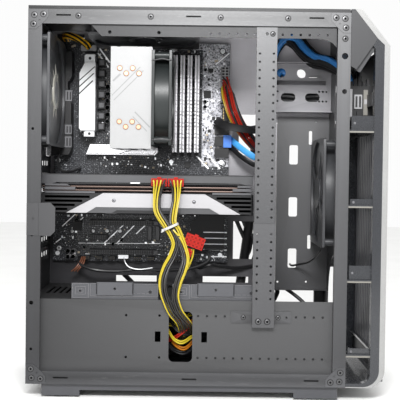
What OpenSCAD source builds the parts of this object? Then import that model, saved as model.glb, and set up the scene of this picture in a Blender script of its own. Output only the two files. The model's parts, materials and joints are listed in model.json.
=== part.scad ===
// Desktop computer tower with both side covers off.
// Millimetres. +Z is up, +X points at the front bezel, -Y is the open access side.
// The origin is on the floor, under the middle of the tower.

/* [Case] */
// Overall width of the tower across the two side frames
case_w = 220; // [210:1:240]
// Rear face of the tower, behind the origin
rear_x = 219; // [215:1:225]
// Height of the top cover above the floor
case_top = 480; // [476:1:490]
// Thickness of the folded sheet
sheet = 1.2; // [0.8:0.1:1.6]
// Width of the side frame posts
post_w = 16; // [14:1:20]
// Height of the top rail of a side frame
rail_h = 17.6; // [14:0.2:22]
// Height of the top of the power supply shroud
shroud_top = 121; // [118:1:124]

/* [Fans] */
// Side of the three case fans
fan_s = 140; // [138:1:140]
// Thickness of every case fan
fan_t = 25; // [24:0.5:25]
// Side of the cooler fan
cfan_s = 120; // [118:1:120]
// Bore through a case fan
fan_bore = 133; // [128:1:134]
// Hub diameter of a case fan rotor
hub_d = 46; // [40:1:50]
// Diameter of the fan spindles
spindle_d = 8; // [6:1:10]
// Gap all round between a spindle and its rotor
run_gap = 0.05; // [0.03:0.01:0.09]
// Blades on a case fan
blades = 7; // [5:1:9]

/* [Board] */
// Rear edge of the board, behind the origin
board_rear = 212; // [210:0.5:213]
// Depth of the board from rear edge to front edge
board_d = 244; // [240:1:245]
// Height of the board
board_h = 305; // [300:1:305]
// Lower edge of the board above the floor
board_z = 153.5; // [152:0.5:156]
// Pitch of the expansion slots
slot_pitch = 20.32; // [20.32:0.01:20.32]
// Pitch of the memory slots
mem_pitch = 9.9; // [9.5:0.1:10.2]

/* [Column] */
// Width of the graphics card support column
col_w = 25; // [22:1:28]
// Pitch of the column holes
col_pitch = 10; // [9:0.5:11]

/* [Hidden] */
hw = case_w / 2;
fy = hw - 1;                 // outer face of a side frame
iy = fy - sheet;             // inner face of a side frame
lid_z = case_top - 4.4;      // top face of the chassis
ceil_z = lid_z - 1.4;        // underside of the chassis top
floor_z = 17;
front_x = 174;
tray_y = 76;
board_y = 68;
bez_in = 204;                // front edge of the openings in the bezel sides
bez_mid = 215;               // front edge of the bezel sides
bez_out = 222;               // front edge of the light trim
bez_cut = [206, 445.5];      // where the sloping top of the bezel turns down
bez_top = 178.5;             // where that slope starts
strut_z = [54, 146, 238, 330];
fan_pitch = 124.5;
slot_z0 = 167;
card_z = slot_z0 + 5 * slot_pitch;
card_lo = 224.5;
card_hi = 275.5;
card_y = -58;
cool_x = [-120, -69];
cool_z = [307.7, 433.8];
shroud_y = -99;
rearfan_c = [-217.6, -35.5, 380];
topfan_c = [-81, -10, 449.2];
frontfan_c = [147.5, 0, 255];
coolfan_c = [-68.8, -35.5, 371];
cardfan_x = [-164, -76, 12];
cardfan_y = -1;
psu_lo = [-217.6, -80, 20];
psu_hi = [-67.6, 70, 106];
psu_c = [-142, -5];
corners = [[-218.5, 17.5, 1, 1], [173.5, 17.5, -1, 1], [-218.5, 475.1, 1, -1], [173.5, 475.1, -1, -1]];
corner_screws = [[7, 7], [18, 6], [6, 18]];
front_fan_z = [105, 255];
top_fan_x = [-81, 78];
hole_ratio = 0.889;          // fan screw pitch over fan side
hole_x = [6.35, 163.83, 233.68];
hole_z = [10.16, 165.1, 294.64];
pipe_x = [-108.5, -100.6, -92.6, -84.7];
pipe_r = 33;
pipe_y = 20;
cap_y = -89.5;

// routes of the cords
pcie_l = [[-59, -72.1, 266], [-59, -77, 266], [-62, -82, 252], [-61, -88, 231], [-50, -92, 215],
    [-42, -94, 203], [-37, -95, 190], [-41, -97, 175], [-48, -100, 161], [-52, -103, 146],
    [-51, -104.5, 132], [-46, -104.5, 118], [-40, -103.4, 106], [-31, -100, 95], [-27, -90, 83],
    [-26, -80, 74], [-34, -66, 60], [-46, -60, 50], [-54, -60, 46], [-62.9, -60, 46]];
pcie_r = [[-38, -72.1, 266], [-38, -77, 266], [-37, -84, 248], [-41, -91, 219], [-35, -94, 207],
    [-28, -96, 189], [-24, -98, 173], [-27, -101, 159], [-33, -103.5, 143], [-36, -104.5, 126],
    [-32, -104, 110], [-27, -102.5, 101], [-20, -96, 91], [-18.5, -84, 82], [-22, -60, 68],
    [-54, -35, 46], [-62.9, -35, 46]];
atx = [[25, 54.9, 400], [25, 48, 400], [28, 38, 388], [35, 30, 364], [45, 34, 344], [56, 46, 330],
    [65, 62, 321], [70, 80, 315], [71, 91, 294], [62, 92, 200], [52, 92, 124], [50, 89, 98],
    [44, 75, 82], [20, 46, 60], [-25, 20, 49], [-54, 15, 46], [-62.9, 15, 46]];
eps = [[-162, 54.9, 448], [-162, 49, 449], [-166, 43, 453], [-176, 42, 459], [-188, 46, 464],
    [-196, 56, 465.5], [-198, 70, 465], [-196, 84, 460], [-190, 92, 440], [-150, 92, 200],
    [-90, 92, 110], [-30, 92, 92], [6, 90, 84], [17, 80, 76], [16, 66, 70], [-10, 54, 56],
    [-50, 41, 46], [-62.9, 40, 46]];
sata = [[31.6, 63, 322], [35, 63, 322], [39, 54, 318], [48, 43, 310], [58, 38, 303], [68, 40, 298],
    [77, 54, 301], [82, 70, 309], [82, 92, 308]];
usb = [[96, 68.5, 402], [96, 68.5, 414], [96, 68.5, 440], [99, 67, 457], [108, 63, 468], [120, 57, 466],
    [131, 50, 452], [145, 42, 439], [160, 28, 434], [176, 10, 421], [190, 0, 404], [190, 0, 392.1]];
frontlead = [[150, -30, 184.9], [150, -30, 180], [149, -16, 174], [147, 10, 166], [141, 36, 158],
    [132, 56, 153.5], [123, 68, 150.5], [121, 84, 151]];
looplead = [[-198, 37.9, 306], [-198, 34, 306], [-201, 28, 290], [-194, 22, 279], [-183, 32, 278],
    [-176, 60, 282], [-176, 67.9, 282]];
spare_lead = [[-34, -97, 150], [-25, -94, 160], [-19, -88, 172], [-17.6, -86, 183.5]];

c_frame = [0.47, 0.47, 0.49];
c_sheet = [0.42, 0.42, 0.44];
c_dark = [0.12, 0.12, 0.13];
c_black = [0.06, 0.06, 0.07];
c_silver = [0.82, 0.82, 0.83];
c_white = [0.93, 0.93, 0.94];
c_copper = [0.75, 0.45, 0.28];
c_red = [0.85, 0.2, 0.16];

// ---------- helpers ----------
module bx(a, b) translate(a) cube(b - a);
module cyl_x(p, d, h) translate(p) rotate([0, 90, 0]) cylinder(d = d, h = h, $fn = 40);
module cyl_y(p, d, h) translate(p) rotate([-90, 0, 0]) cylinder(d = d, h = h, $fn = 40);
module cyl_z(p, d, h) translate(p) cylinder(d = d, h = h, $fn = 40);
// a cutter for an opening with round corners in a sheet that faces Y
module window(x, z, r, y) {
    bx([x[0] + r, y, z[0]], [x[1] - r, y + 5, z[1]]);
    bx([x[0], y, z[0] + r], [x[1], y + 5, z[1] - r]);
    for (cx = [x[0] + r, x[1] - r], cz = [z[0] + r, z[1] - r]) cyl_y([cx, y, cz], 2 * r, 5);
}

// a fan frame lying on z = 0 with its spindle up
module fan_frame(s, t, bore, hub) {
    difference() {
        translate([-s / 2, -s / 2, 0]) cube([s, s, t]);
        translate([0, 0, -1]) cylinder(d = bore, h = t + 2, $fn = 64);
        for (i = [-1, 1], j = [-1, 1])
            translate([i, j, 0] * 0.5 * s * hole_ratio + [0, 0, -1]) cylinder(d = 4.4, h = t + 2, $fn = 24);
    }
    cylinder(d = hub - 2, h = 2.4, $fn = 64);
    translate([0, 0, 2.4]) cylinder(d = spindle_d, h = t - 9, $fn = 40);
    for (k = [0:3])
        rotate([0, 0, 30 + 90 * k]) translate([hub / 2 - 3, -2.5, 0.2])
            cube([bore / 2 - hub / 2 + 4.2, 5, 2]);
}

// the rotor that turns on that spindle
module fan_rotor(t, bore, hub, n) {
    difference() {
        translate([0, 0, 3]) cylinder(d = hub, h = t - 4.5, $fn = 64);
        translate([0, 0, 2]) cylinder(d = spindle_d + 2 * run_gap, h = t - 8, $fn = 40);
    }
    tip = bore / 2 - 1.6;
    chord = 2 * PI * hub / 2 / n * 1.35;
    for (k = [0:n - 1])
        rotate([0, 0, k * 360 / n]) intersection() {
            translate([hub / 2 - 0.8, 0, t / 2 + 0.6]) rotate([34, 0, 0])
                translate([0, -chord / 2, -0.8]) cube([tip, chord, 1.6]);
            cylinder(r = tip, h = t, $fn = 64);
        }
}

// ---------- free running cord ----------
function unit(v) = v / norm(v);
function tang(p, i) = unit(p[min(i + 1, len(p) - 1)] - p[max(i - 1, 0)]);
// a normal carried along the route without twist
function carried(p, i, ref) = i == 0 ? unit(cross(tang(p, 0), ref))
    : let (a = carried(p, i - 1, ref), t = tang(p, i)) unit(a - t * (a * t));
function ring(c, t, r, a, n) = let (b = cross(t, a))
    [for (k = [0:n - 1]) c + r * (cos(360 * k / n) * a + sin(360 * k / n) * b)];
module tube(p, r, ref, n = 8) {
    m = len(p);
    pts = [for (i = [0:m - 1]) each ring(p[i], tang(p, i), r, carried(p, i, ref), n)];
    side = [for (i = [0:m - 2], k = [0:n - 1]) each [
        [i * n + k, (i + 1) * n + k, (i + 1) * n + (k + 1) % n],
        [i * n + k, (i + 1) * n + (k + 1) % n, i * n + (k + 1) % n]]];
    polyhedron(points = pts, faces = concat([[for (k = [0:n - 1]) k]], side,
        [[for (k = [n - 1:-1:0]) (m - 1) * n + k]]));
}

// ---------- chassis ----------
module chassis_floor() color(c_sheet) {
    difference() {
        bx([-217.6, -iy, floor_z], [172.4, iy, floor_z + sheet]);
        for (k = [0:11]) bx([-201 + k * 10.6, -58, floor_z - 1], [-196 + k * 10.6, 58, floor_z + 3]);
        for (k = [0:5]) bx([100 + k * 10, -60, floor_z - 1], [105 + k * 10, 60, floor_z + 3]);
    }
    for (s = [-1, 1]) {
        bx([-206, min(s * 66.4, s * 69), 12], [-74, max(s * 66.4, s * 69), floor_z]);
        bx([-206, min(s * 62, s * 67), 11], [-74, max(s * 62, s * 67), 12.4]);
    }
}

module rear_panel() color(c_frame) difference() {
    bx([-rear_x, -iy, floor_z], [-rear_x + sheet, iy, ceil_z]);
    // exhaust grille
    intersection() {
        for (k = [-8:8])
            translate([-rear_x - 1, -102, rearfan_c[2] + k * 7.6 - 2.4]) cube([4, 133, 4.8]);
        translate([-rear_x - 2, rearfan_c[1], rearfan_c[2]]) rotate([0, 90, 0])
            cylinder(d = 130, h = 6, $fn = 64);
    }
    for (i = [-1, 1], j = [-1, 1])
        cyl_x([-rear_x - 1, rearfan_c[1] + i * fan_pitch / 2, rearfan_c[2] + j * fan_pitch / 2], 4.5, 4);
    // port window
    bx([-rear_x - 1, 37, 299], [-rear_x + 3, 70, 447]);
    // expansion slots
    for (k = [0:6])
        bx([-rear_x - 1, -52, slot_z0 + k * slot_pitch - 7], [-rear_x + 3, 60, slot_z0 + k * slot_pitch + 7]);
    // power supply window
    bx([-rear_x - 1, -74, 26], [-rear_x + 3, 64, 100]);
    // cable side vents
    for (k = [0:9]) bx([-rear_x - 1, 84, 150 + k * 28], [-rear_x + 3, 98, 166 + k * 28]);
}

module front_wall() color(c_sheet) difference() {
    bx([front_x - 1.4, -iy, floor_z], [front_x - 0.2, iy, ceil_z]);
    for (z = front_fan_z)
        translate([front_x - 3, 0, z]) rotate([0, 90, 0]) cylinder(d = 132, h = 6, $fn = 64);
    for (z = front_fan_z, i = [-1, 1], j = [-1, 1])
        cyl_x([front_x - 3, i * fan_pitch / 2, z + j * fan_pitch / 2], 4.5, 6);
    bx([front_x - 3, -70, 342], [front_x + 2, 20, 400]);
    cyl_x([front_x - 3, 12, 423], 18, 6);
    for (y = [-98, 84], k = [0:5]) translate([front_x - 3, y, 60 + k * 62]) cube([5, 14, 36]);
}

module chassis_top() color(c_frame) difference() {
    bx([-rear_x, -iy, ceil_z], [front_x - 0.2, iy, lid_z]);
    for (x = top_fan_x) translate([x, topfan_c[1], ceil_z - 1]) cylinder(d = 132, h = 4, $fn = 64);
    for (x = top_fan_x, i = [-1, 1], j = [-1, 1])
        cyl_z([x + i * fan_pitch / 2, topfan_c[1] + j * fan_pitch / 2, ceil_z - 1], 4.4, 4);
}

module motherboard_tray() color(c_sheet) difference() {
    union() {
        bx([-217.6, tray_y, floor_z + sheet], [99, tray_y + sheet, ceil_z]);
        bx([98, tray_y, 434], [172.4, tray_y + sheet, ceil_z]);
    }
    // cable windows
    bx([-124, tray_y - 1, 124.5], [-67, tray_y + 3, 133]);
    bx([-2, tray_y - 1, 124.5], [62, tray_y + 3, 133]);
    bx([40, tray_y - 1, 158], [75, tray_y + 3, 211]);
    bx([46, tray_y - 1, 304], [86, tray_y + 3, 361]);
    bx([8, tray_y - 1, 56], [66, tray_y + 3, 104]);
    bx([-210, tray_y - 1, 459], [-172, tray_y + 3, 471]);
    // access window behind the processor
    bx([-135, tray_y - 1, 322], [-58, tray_y + 3, 416]);
}

module side_frame(s) {
    y0 = s < 0 ? -fy : iy;
    rail_z = lid_z - rail_h;
    difference() {
        bx([-rear_x, y0, floor_z], [front_x, y0 + sheet, lid_z]);
        bx([-202, y0 - 1, 33], [158, y0 + 2, rail_z]);
        for (x = [-185, -27, 123], z = [25, 468.5]) bx([x, y0 - 1, z - 1], [x + 18, y0 + 2, z + 1]);
        cyl_y([-212.5, y0 - 1, 117], 5, 4);
        cyl_y([167, y0 - 1, 423], 7.8, 4);
        cyl_y([167, y0 - 1, 380], 6, 4);
        for (z = [60, 200, 330]) cyl_y([-212.5, y0 - 1, z], 3.4, 4);
    }
    // folded returns along the inner edges
    f0 = s < 0 ? -iy : iy - 7;
    bx([158, f0, 33], [158 + sheet, f0 + 7, 440]);
    bx([-202 - sheet, f0, 125], [-202, f0 + 7, 300]);
}
module side_frame_left() color(c_frame) side_frame(-1);
module side_frame_right() color(c_frame) side_frame(1);

module corner_brackets() color(c_sheet)
    for (s = [-1, 1], c = corners)
        difference() {
            translate([c[0], s < 0 ? -fy - 0.8 : fy, c[1]])
                rotate([90, 0, 0]) mirror([0, 0, 1]) linear_extrude(0.8)
                    polygon([[0, 0], [24 * c[2], 0], [24 * c[2], 9 * c[3]], [19 * c[2], 15 * c[3]],
                        [15 * c[2], 19 * c[3]], [9 * c[2], 24 * c[3]], [0, 24 * c[3]]]);
            cyl_y([c[0] + 13.5 * c[2], s < 0 ? -fy - 2 : fy - 1, c[1] + 13.5 * c[3]], 2.6, 4);
            for (d = corner_screws)
                cyl_y([c[0] + d[0] * c[2], s < 0 ? -fy - 2 : fy - 1, c[1] + d[1] * c[3]], 2, 4);
        }

// a flat screw head lying on a face whose outward side is s along Y
module screw_y(p, s) cyl_y([p[0], s < 0 ? p[1] - 0.2 : p[1], p[2]], 5.6, 0.2);
module frame_screws() color(c_dark) {
    for (s = [-1, 1]) {
        yf = s * (fy + 0.8);
        for (c = corners, d = corner_screws)
            screw_y([c[0] + d[0] * c[2], yf, c[1] + d[1] * c[3]], s);
        for (x = [-158, -70, 15, 97]) screw_y([x, s * fy, 467.7], s);
        screw_y([167, s * fy, 444], s);
    }
    // rear screws of the case fan and the power supply
    for (i = [-1, 1], j = [-1, 1])
        cyl_x([-rear_x - 1, rearfan_c[1] + i * fan_pitch / 2, rearfan_c[2] + j * fan_pitch / 2], 7.5, 1);
    for (y = [psu_lo[1] + 2.5, psu_hi[1] - 2.5], z = [psu_lo[2] + 2.5, psu_hi[2] - 2.5])
        cyl_x([-rear_x - 1, y, z], 7, 1);
}

module top_cover() color(c_frame) difference() {
    bx([-rear_x, -iy, lid_z], [front_x - 1, iy, case_top]);
    for (x = top_fan_x, k = [-9:9])
        translate([x - 68, topfan_c[1] + k * 7 - 2.2, lid_z - 1]) cube([136, 4.4, 8]);
}

module top_flange() color(c_frame) difference() {
    translate([0, -104, 0]) rotate([90, 0, 0]) linear_extrude(sheet)
        polygon([[-144, lid_z - 2], [157, lid_z - 2], [157, 434], [152, 439], [145, 442.4], [136, 444],
            [-130, 444], [-144, 459]]);
    for (k = [0:13]) cyl_y([3 + 11 * k, -107, 448.4], 3, 5);
    for (x = [-120, -60]) cyl_y([x, -107, 449], 4.2, 5);
}

module slot_lock_plate() color(c_sheet) difference() {
    translate([0, -fy, 0]) rotate([90, 0, 0]) linear_extrude(1)
        polygon([[-219, 200], [-190, 199], [-184, 205], [-184, 234], [-190, 240], [-219, 239]]);
    cyl_y([-211, -fy - 3, 220], 3, 6);
    bx([-204.5, -fy - 1.2, 190], [-203.7, -fy - 0.6, 250]);
}

module slot_covers() color(c_frame)
    for (k = [0, 1, 2, 3, 6])
        difference() {
            bx([-217.7, -56, slot_z0 + k * slot_pitch - 9], [-216.6, 62, slot_z0 + k * slot_pitch + 9]);
            for (j = [0:4])
                translate([-219, -44 + j * 19, slot_z0 + k * slot_pitch - 3]) cube([4, 12, 6]);
        }

module psu_shroud() color(c_sheet) difference() {
    union() {
        bx([-217, shroud_y, floor_z + sheet], [172, shroud_y + sheet, shroud_top]);
        bx([-217, shroud_y, shroud_top - sheet], [88, tray_y, shroud_top]);
        bx([88 - sheet, shroud_y, shroud_top - 8], [88, tray_y, shroud_top]);
    }
    // cable opening with round ends
    window([-44, -14.6], [44.4, 107], 6, shroud_y - 1);
    for (k = [0:14], z = [101.7, 49.7]) cyl_y([-7.8 + 11 * k, shroud_y - 1, z], 3, 4);
    for (x = [-96.7, -55.4], z = [101.7, 49.7]) cyl_y([x, shroud_y - 1, z], 3, 4);
    for (x = [-61, -3.5]) bx([x, shroud_y - 1, 69], [x + 7, shroud_y + 3, 82]);
    // cable openings in the top
    bx([-50, 30, shroud_top - 3], [30, 70, shroud_top + 1]);
    for (k = [0:7]) bx([-205 + k * 8, -40, shroud_top - 3], [-201 + k * 8, 40, shroud_top + 1]);
}

module caddy(x0) {
    x1 = x0 + 107.5;
    z = shroud_top;
    difference() {
        union() {
            bx([x0, -95, z], [x1, -15, z + 1.2]);
            bx([x0, -95, z], [x1, -93.8, z + 19.5]);
            bx([x0, -95, z], [x0 + 1.2, -15, z + 11]);
            bx([x1 - 1.2, -95, z], [x1, -15, z + 11]);
            bx([x0 + 31, -97.4, z + 5], [x1 - 31, -95, z + 6.4]);
            bx([x0 + 31, -97.4, z + 5], [x1 - 31, -96.2, z + 21]);
        }
        cyl_y([(x0 + x1) / 2, -99, z + 13], 3.4, 8);
        bx([x0 + 12, -70, z - 1], [x1 - 12, -35, z + 3]);
        for (x = [x0 + 10, x1 - 10]) cyl_y([x, -97, z + 9], 4, 5);
    }
}
module drive_caddies() color(c_black) {
    caddy(-165);
    caddy(-40);
}

module col_holes(z0, z1, y) {
    for (z = [z0:col_pitch:z1], x = [-8.5, 8.5]) cyl_y([72 + x, y - 1, z], 2.8, 4);
}
module support_column_upper() color(c_frame) difference() {
    union() {
        bx([72 - col_w / 2, -106.4, 205], [72 + col_w / 2, -105.2, 457]);
        bx([72 - col_w / 2, -101.9, 205], [72 + col_w / 2, -101, 442]);
        for (s = [-1, 1]) {
            xs = 72 + s * (col_w / 2 - 0.6);
            bx([xs - 0.6, -105.2, 205], [xs + 0.6, -101, 442]);
        }
    }
    col_holes(225, 425, -106.4);
    cyl_y([72, -108, 449], 4, 4);
}
module support_column_lower() color(c_frame) difference() {
    union() {
        bx([72 - col_w / 2 - 1, -107.6, 89.5], [72 + col_w / 2 + 1, -106.4, 217]);
        bx([72 - col_w / 2 - 1, -102.4, 104], [72 + col_w / 2 + 1, -101.5, 204]);
        for (s = [-1, 1]) {
            xs = 72 + s * (col_w / 2 + 0.55);
            bx([xs - 0.45, -106.4, 89.5], [xs + 0.45, -101.5, 217]);
        }
    }
    col_holes(125, 205, -107.6);
    for (x = [66, 77]) cyl_y([x, -109, 97], 4.2, 5);
}
module column_bracket() color(c_sheet) difference() {
    union() {
        bx([33, -100.2, 94], [107, -99, 108.5]);
        for (x = [66, 77]) cyl_y([x, -106.4, 97], 6.4, 6.2);
    }
    for (x = [48, 91, 101]) cyl_y([x, -102, 101], 3.4, 5);
}

module cable_cover_plate() color(c_sheet) difference() {
    union() {
        bx([100, 72, 116.2], [172.4, 73.2, 358]);
        bx([100, 64, 116.2], [172.4, 73.2, 117.4]);
        bx([100, 73.2, 125], [101.2, iy, 349.5]);
        bx([171.2, 71, 125], [172.4, 82, 348]);
    }
    for (z = [292, 219, 147]) window([117, 129], [z, z + 27], 2.5, 70);
    for (z = [320, 174]) window([144, 148.5], [z, z + 19], 1.5, 70);
    for (p = [[103, 127], [143, 127.5], [154, 352]]) cyl_y([p[0], 70, p[1]], 2.6, 6);
}

module drive_bracket() color(c_sheet) difference() {
    union() {
        bx([90, 60, 365], [172.4, 61.2, 431]);
        bx([90, 46, 363.8], [172.4, 61.2, 365]);
        bx([90, 46, 431], [172.4, 61.2, 432.2]);
        bx([90, 46, 365], [91.2, 60, 431]);
        // back wall of the channel
        bx([90, 61, 363.8], [172.4, 75.8, 365]);
        bx([90, 74.6, 350], [172.4, 75.8, 433]);
        bx([90, 61, 397], [172.4, 75, 398.2]);
    }
    bx([97, 59, 402], [165, 62, 408]);
    cyl_y([103, 58, 418.4], 12.6, 5);
    for (y = [58, 72]) {
        cyl_y([131.5, y, 418.4], 13.4, 6);
        for (z = [412.4, 425.6]) bx([141.5, y, z], [155, y + 6, z + 2]);
    }
    for (x = [103, 136.6]) window([x, x + 20], [379, 390.6], 5.5, 58);
    for (x = [98.4, 156, 161, 166], z = [379.6, 393]) cyl_y([x, 58, z], 2.8, 5);
}

module base_feet() color(c_dark)
    for (s = [-1, 1]) {
        y0 = s < 0 ? -104 : 72;
        yr = s < 0 ? -104 : 92;
        bx([-200, y0, 2], [-153, y0 + 32, floor_z]);
        bx([111, y0, 2], [165, y0 + 32, floor_z]);
        bx([-153, yr, 9], [111, yr + 12, floor_z]);
    }
module foot_pads() color(c_black)
    for (s = [-1, 1], x = [-176.5, 138]) cyl_z([x, s * 88, 0], 26, 2);

module floor_filter() color(c_black) {
    difference() {
        bx([-213, -65.9, 12.6], [-75, 65.9, 16.6]);
        bx([-203, -58, 14], [-82, 58, 18]);
        for (k = [0:11]) bx([-200 + k * 9.9, -56, 11], [-194 + k * 9.9, 56, 18]);
    }
    bx([-216, -20, 12.6], [-213, 20, 16.6]);
}

// ---------- front bezel ----------
// a quarter round from straight down to straight out, centre c and radius r
function corner(c, r) = [for (a = [-90:10:0]) c + r * [cos(a), sin(a)]];
module bezel_side(y0, y1)
    translate([0, y1, 0]) rotate([90, 0, 0]) linear_extrude(y1 - y0)
        difference() {
            polygon(concat([[174, 480], [174, 18.2]], corner([195, 38.2], 20),
                [[bez_mid, 437], bez_cut, [bez_top, 480]]));
            polygon(concat([[173, 464], [173, 22.2]], corner([192, 34.2], 12), [[bez_in, 433]]));
        }
module bezel_frame() color(c_dark) {
    bezel_side(-109, -97);
    bezel_side(97, 109);
    // floor of the bezel, rising to the bottom bar
    bx([174.2, -97.5, 19.6], [203, 97.5, 21.6]);
    bx([201, -97.5, 20.6], [208, 97.5, 26]);
    bx([206, -97.5, 24], [213, 97.5, 34]);
    for (k = [0:3]) {
        z = strut_z[k];
        plate_h = k % 2 == 0 ? 8 : 18;
        bx([211, -97.5, z], [bez_mid, 97.5, z + 3]);
        for (s = [-1, 1]) {
            bx([174, s * 106 - 1, z], [bez_in + 0.5, s * 106 + 1, z + 4]);
            bx([177, s * 103 - 0.6, z + 3], [bez_in + 0.5, s * 103 + 0.6, z + 3 + plate_h]);
        }
    }
    // the sloping top between the two sides
    translate([0, 97.5, 0]) rotate([90, 0, 0]) linear_extrude(195)
        polygon([[174, 480], [bez_top, 480], bez_cut, [bez_mid, 437], [bez_mid - 4, 436],
            [203, 443.6], [176, 477.4], [174, 477.4]]);
}
module bezel_trim() color(c_silver)
    for (y0 = [-109, 103])
        translate([0, y0 + 6, 0]) rotate([90, 0, 0]) linear_extrude(6)
            polygon(concat([[174, 17]], corner([200, 39], 22), [[bez_out, 436], [187, 480],
                [bez_top + 0.1, 480], [bez_cut[0] + 0.1, bez_cut[1] + 0.05], [bez_mid + 0.1, 437.1]],
                [for (k = [9:-1:0]) corner([195, 38.2], 20.1)[k]], [[174, 18.1]]));
module bezel_gussets() color(c_frame)
    for (s = [-1, 1]) {
        y1 = s < 0 ? -109.1 : 109.9;
        translate([0, y1, 0]) rotate([90, 0, 0]) linear_extrude(0.8)
            polygon([[174.2, 478], [179.3, 478], [205.8, 444.8], [204, 440.6], [181, 407], [174.2, 411]]);
        // the folded lower edge
        translate([0, s < 0 ? -99 : 109.9, 0]) rotate([90, 0, 0]) linear_extrude(10.9)
            polygon([[181, 407], [199.6, 434.2], [198.4, 434.8], [179.9, 408]]);
    }
module front_panel() color(c_dark) difference() {
    bx([bez_mid + 0.1, -102.8, 24], [bez_mid + 5.6, 102.8, 435]);
    for (k = [-6:6]) bx([bez_mid - 1, k * 14 - 3.5, 50], [bez_out, k * 14 + 3.5, 335]);
    bx([bez_mid - 1, -64, 358], [bez_out, 64, 386]);
    cyl_x([bez_mid - 3, -82, 372], 16.6, 12);
    cyl_x([bez_mid - 3, 82, 372], 10.6, 12);
}
module front_io() color(c_silver) {
    difference() {
        bx([178, -64, 352], [bez_mid + 0.1, 64, 392]);
        for (y = [-50, -32]) bx([207, y, 362], [217, y + 13, 368]);
        for (y = [-10, 4]) cyl_x([202, y, 366], 4, 15);
        bx([207, 20, 362], [217, 29, 365.5]);
    }
    bx([202, -97, 364], [205, -64, 380]);
    bx([202, 64, 364], [205, 97, 380]);
    cyl_x([205, -82, 372], 5, 9);
    cyl_x([205, 82, 372], 4, 9);
}
module button(y, d, core) difference() {
    union() {
        cyl_x([211.5, y, 372], d, 10.3);
        cyl_x([211.5, y, 372], d + 3, 2);
    }
    cyl_x([210.5, y, 372], core + 2 * run_gap, 7);
}
module power_button() color(c_silver) button(-82, 16.4, 5);
module reset_button() color(c_silver) button(82, 10.4, 4);

// ---------- board ----------
module board_pcb() color(c_black) difference() {
    bx([-board_rear, board_y, board_z], [-board_rear + board_d, board_y + 1.6, board_z + board_h]);
    for (x = hole_x, z = hole_z)
        cyl_y([-board_rear + x, board_y - 1, board_z + board_h - z], 4, 4);
}
module board_standoffs() color(c_copper)
    for (x = hole_x, z = hole_z) {
        cyl_y([-board_rear + x, board_y + 1.6, board_z + board_h - z], 6, tray_y - board_y - 1.6);
        cyl_y([-board_rear + x, board_y - 2, board_z + board_h - z], 6, 2);
    }
module rear_ports() color(c_dark) {
    bx([-217.6, 38, 299], [-184, board_y, 445]);
    for (k = [0:3]) bx([-218.8, 44, 303 + k * 18], [-217.6, 60, 317 + k * 18]);
    bx([-218.8, 44, 376], [-217.6, 62, 392]);
    bx([-218.8, 42, 400], [-217.6, 58, 440]);
}
module board_heatsinks() color(c_white) {
    bx([-173, 33, 326], [-151, board_y, 438]);
    translate([0, board_y, 0]) rotate([90, 0, 0]) linear_extrude(20)
        polygon([[-166, 301.5], [-70, 301.5], [-66, 306], [-66, 312], [-72, 316.7], [-160, 316.7]]);
    translate([0, board_y, 0]) rotate([90, 0, 0]) linear_extrude(7)
        polygon([[-20, 171], [26, 171], [26, 232], [4, 232], [-20, 208]]);
}
module board_parts() color(c_dark) {
    for (k = [0:6]) bx([-150.5, 58, 336 + 14.7 * k], [-140.5, board_y, 346 + 14.7 * k]);
    for (k = [0:5]) cyl_y([-134.5, 58, 348 + 9.5 * k], 7, board_y - 58);
    for (x = [-190, -182], z = [160, 172]) cyl_y([x, 58, z], 6, board_y - 58);
    bx([-6, 66, 384], [4, board_y, 395]);
    bx([-30, 66, 285], [-22, board_y, 293]);
    bx([-185, 65, 196], [-172, board_y, 209]);
    cyl_y([-28, 65, 225], 20, board_y - 65);
    for (k = [0:8]) bx([-170 + 18 * k, 59, 156], [-160 + 18 * k, board_y, 161]);
}
module memory_slots() color(c_dark)
    for (k = [0:3]) difference() {
        bx([-46.4 + mem_pitch * k, 60, 302], [-39.6 + mem_pitch * k, board_y, 443]);
        bx([-44 + mem_pitch * k, 59, 304], [-42 + mem_pitch * k, 61.6, 441]);
    }
module memory_modules() color(c_silver)
    for (k = [0:3]) bx([-46.2 + mem_pitch * k, 25, 305.5], [-39.8 + mem_pitch * k, 60, 438]);
module expansion_slots() color(c_dark) {
    for (k = [0, 2, 5]) translate([-160, 57, slot_z0 + k * slot_pitch - 3.6]) cube([89, 11, 7.2]);
    for (k = [1, 3, 4]) translate([-160, 57, slot_z0 + k * slot_pitch - 3.6]) cube([25, 11, 7.2]);
}
module board_sockets() color(c_dark) {
    bx([19, 55, 374.6], [31, board_y, 425.4]);
    bx([-174, 55, 443], [-152, board_y, 453]);
    bx([-120, 62, 343], [-69, board_y, 400]);
    for (k = [0:2]) bx([12, 58, 300 + 16 * k], [31.5, board_y, 313 + 16 * k]);
    bx([22, 58, 350], [31, board_y, 371]);
}

// ---------- processor cooler ----------
function pipe_z(k) = k % 2 == 0 ? 373.9 : 367.5;
module cooler_base() color(c_silver) {
    bx([-115, 46, 347], [-77, 62, 389]);
    bx([-118, 57, 322], [-74, 62, 346.9]);
    bx([-118, 57, 389.1], [-74, 62, 414]);
}
module cooler_pipes() color(c_copper)
    for (k = [0:3]) {
        translate([pipe_x[k], pipe_y, pipe_z(k)]) rotate([0, -90, 0])
            rotate_extrude(angle = 180, $fn = 64) translate([pipe_r, 0]) circle(d = 6, $fn = 24);
        for (s = [-1, 1]) cyl_y([pipe_x[k], cap_y - 1, pipe_z(k) + s * pipe_r], 6, pipe_y - cap_y + 1);
    }
module cooler_fins() color(c_silver)
    for (j = [0:13]) difference() {
        bx([cool_x[0], -84 + 7.4 * j, cool_z[0]], [cool_x[1], -83.2 + 7.4 * j, cool_z[1]]);
        for (k = [0:3], s = [-1, 1])
            cyl_y([pipe_x[k], -86 + 7.4 * j, pipe_z(k) + s * pipe_r], 6.2, 5);
    }
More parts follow.
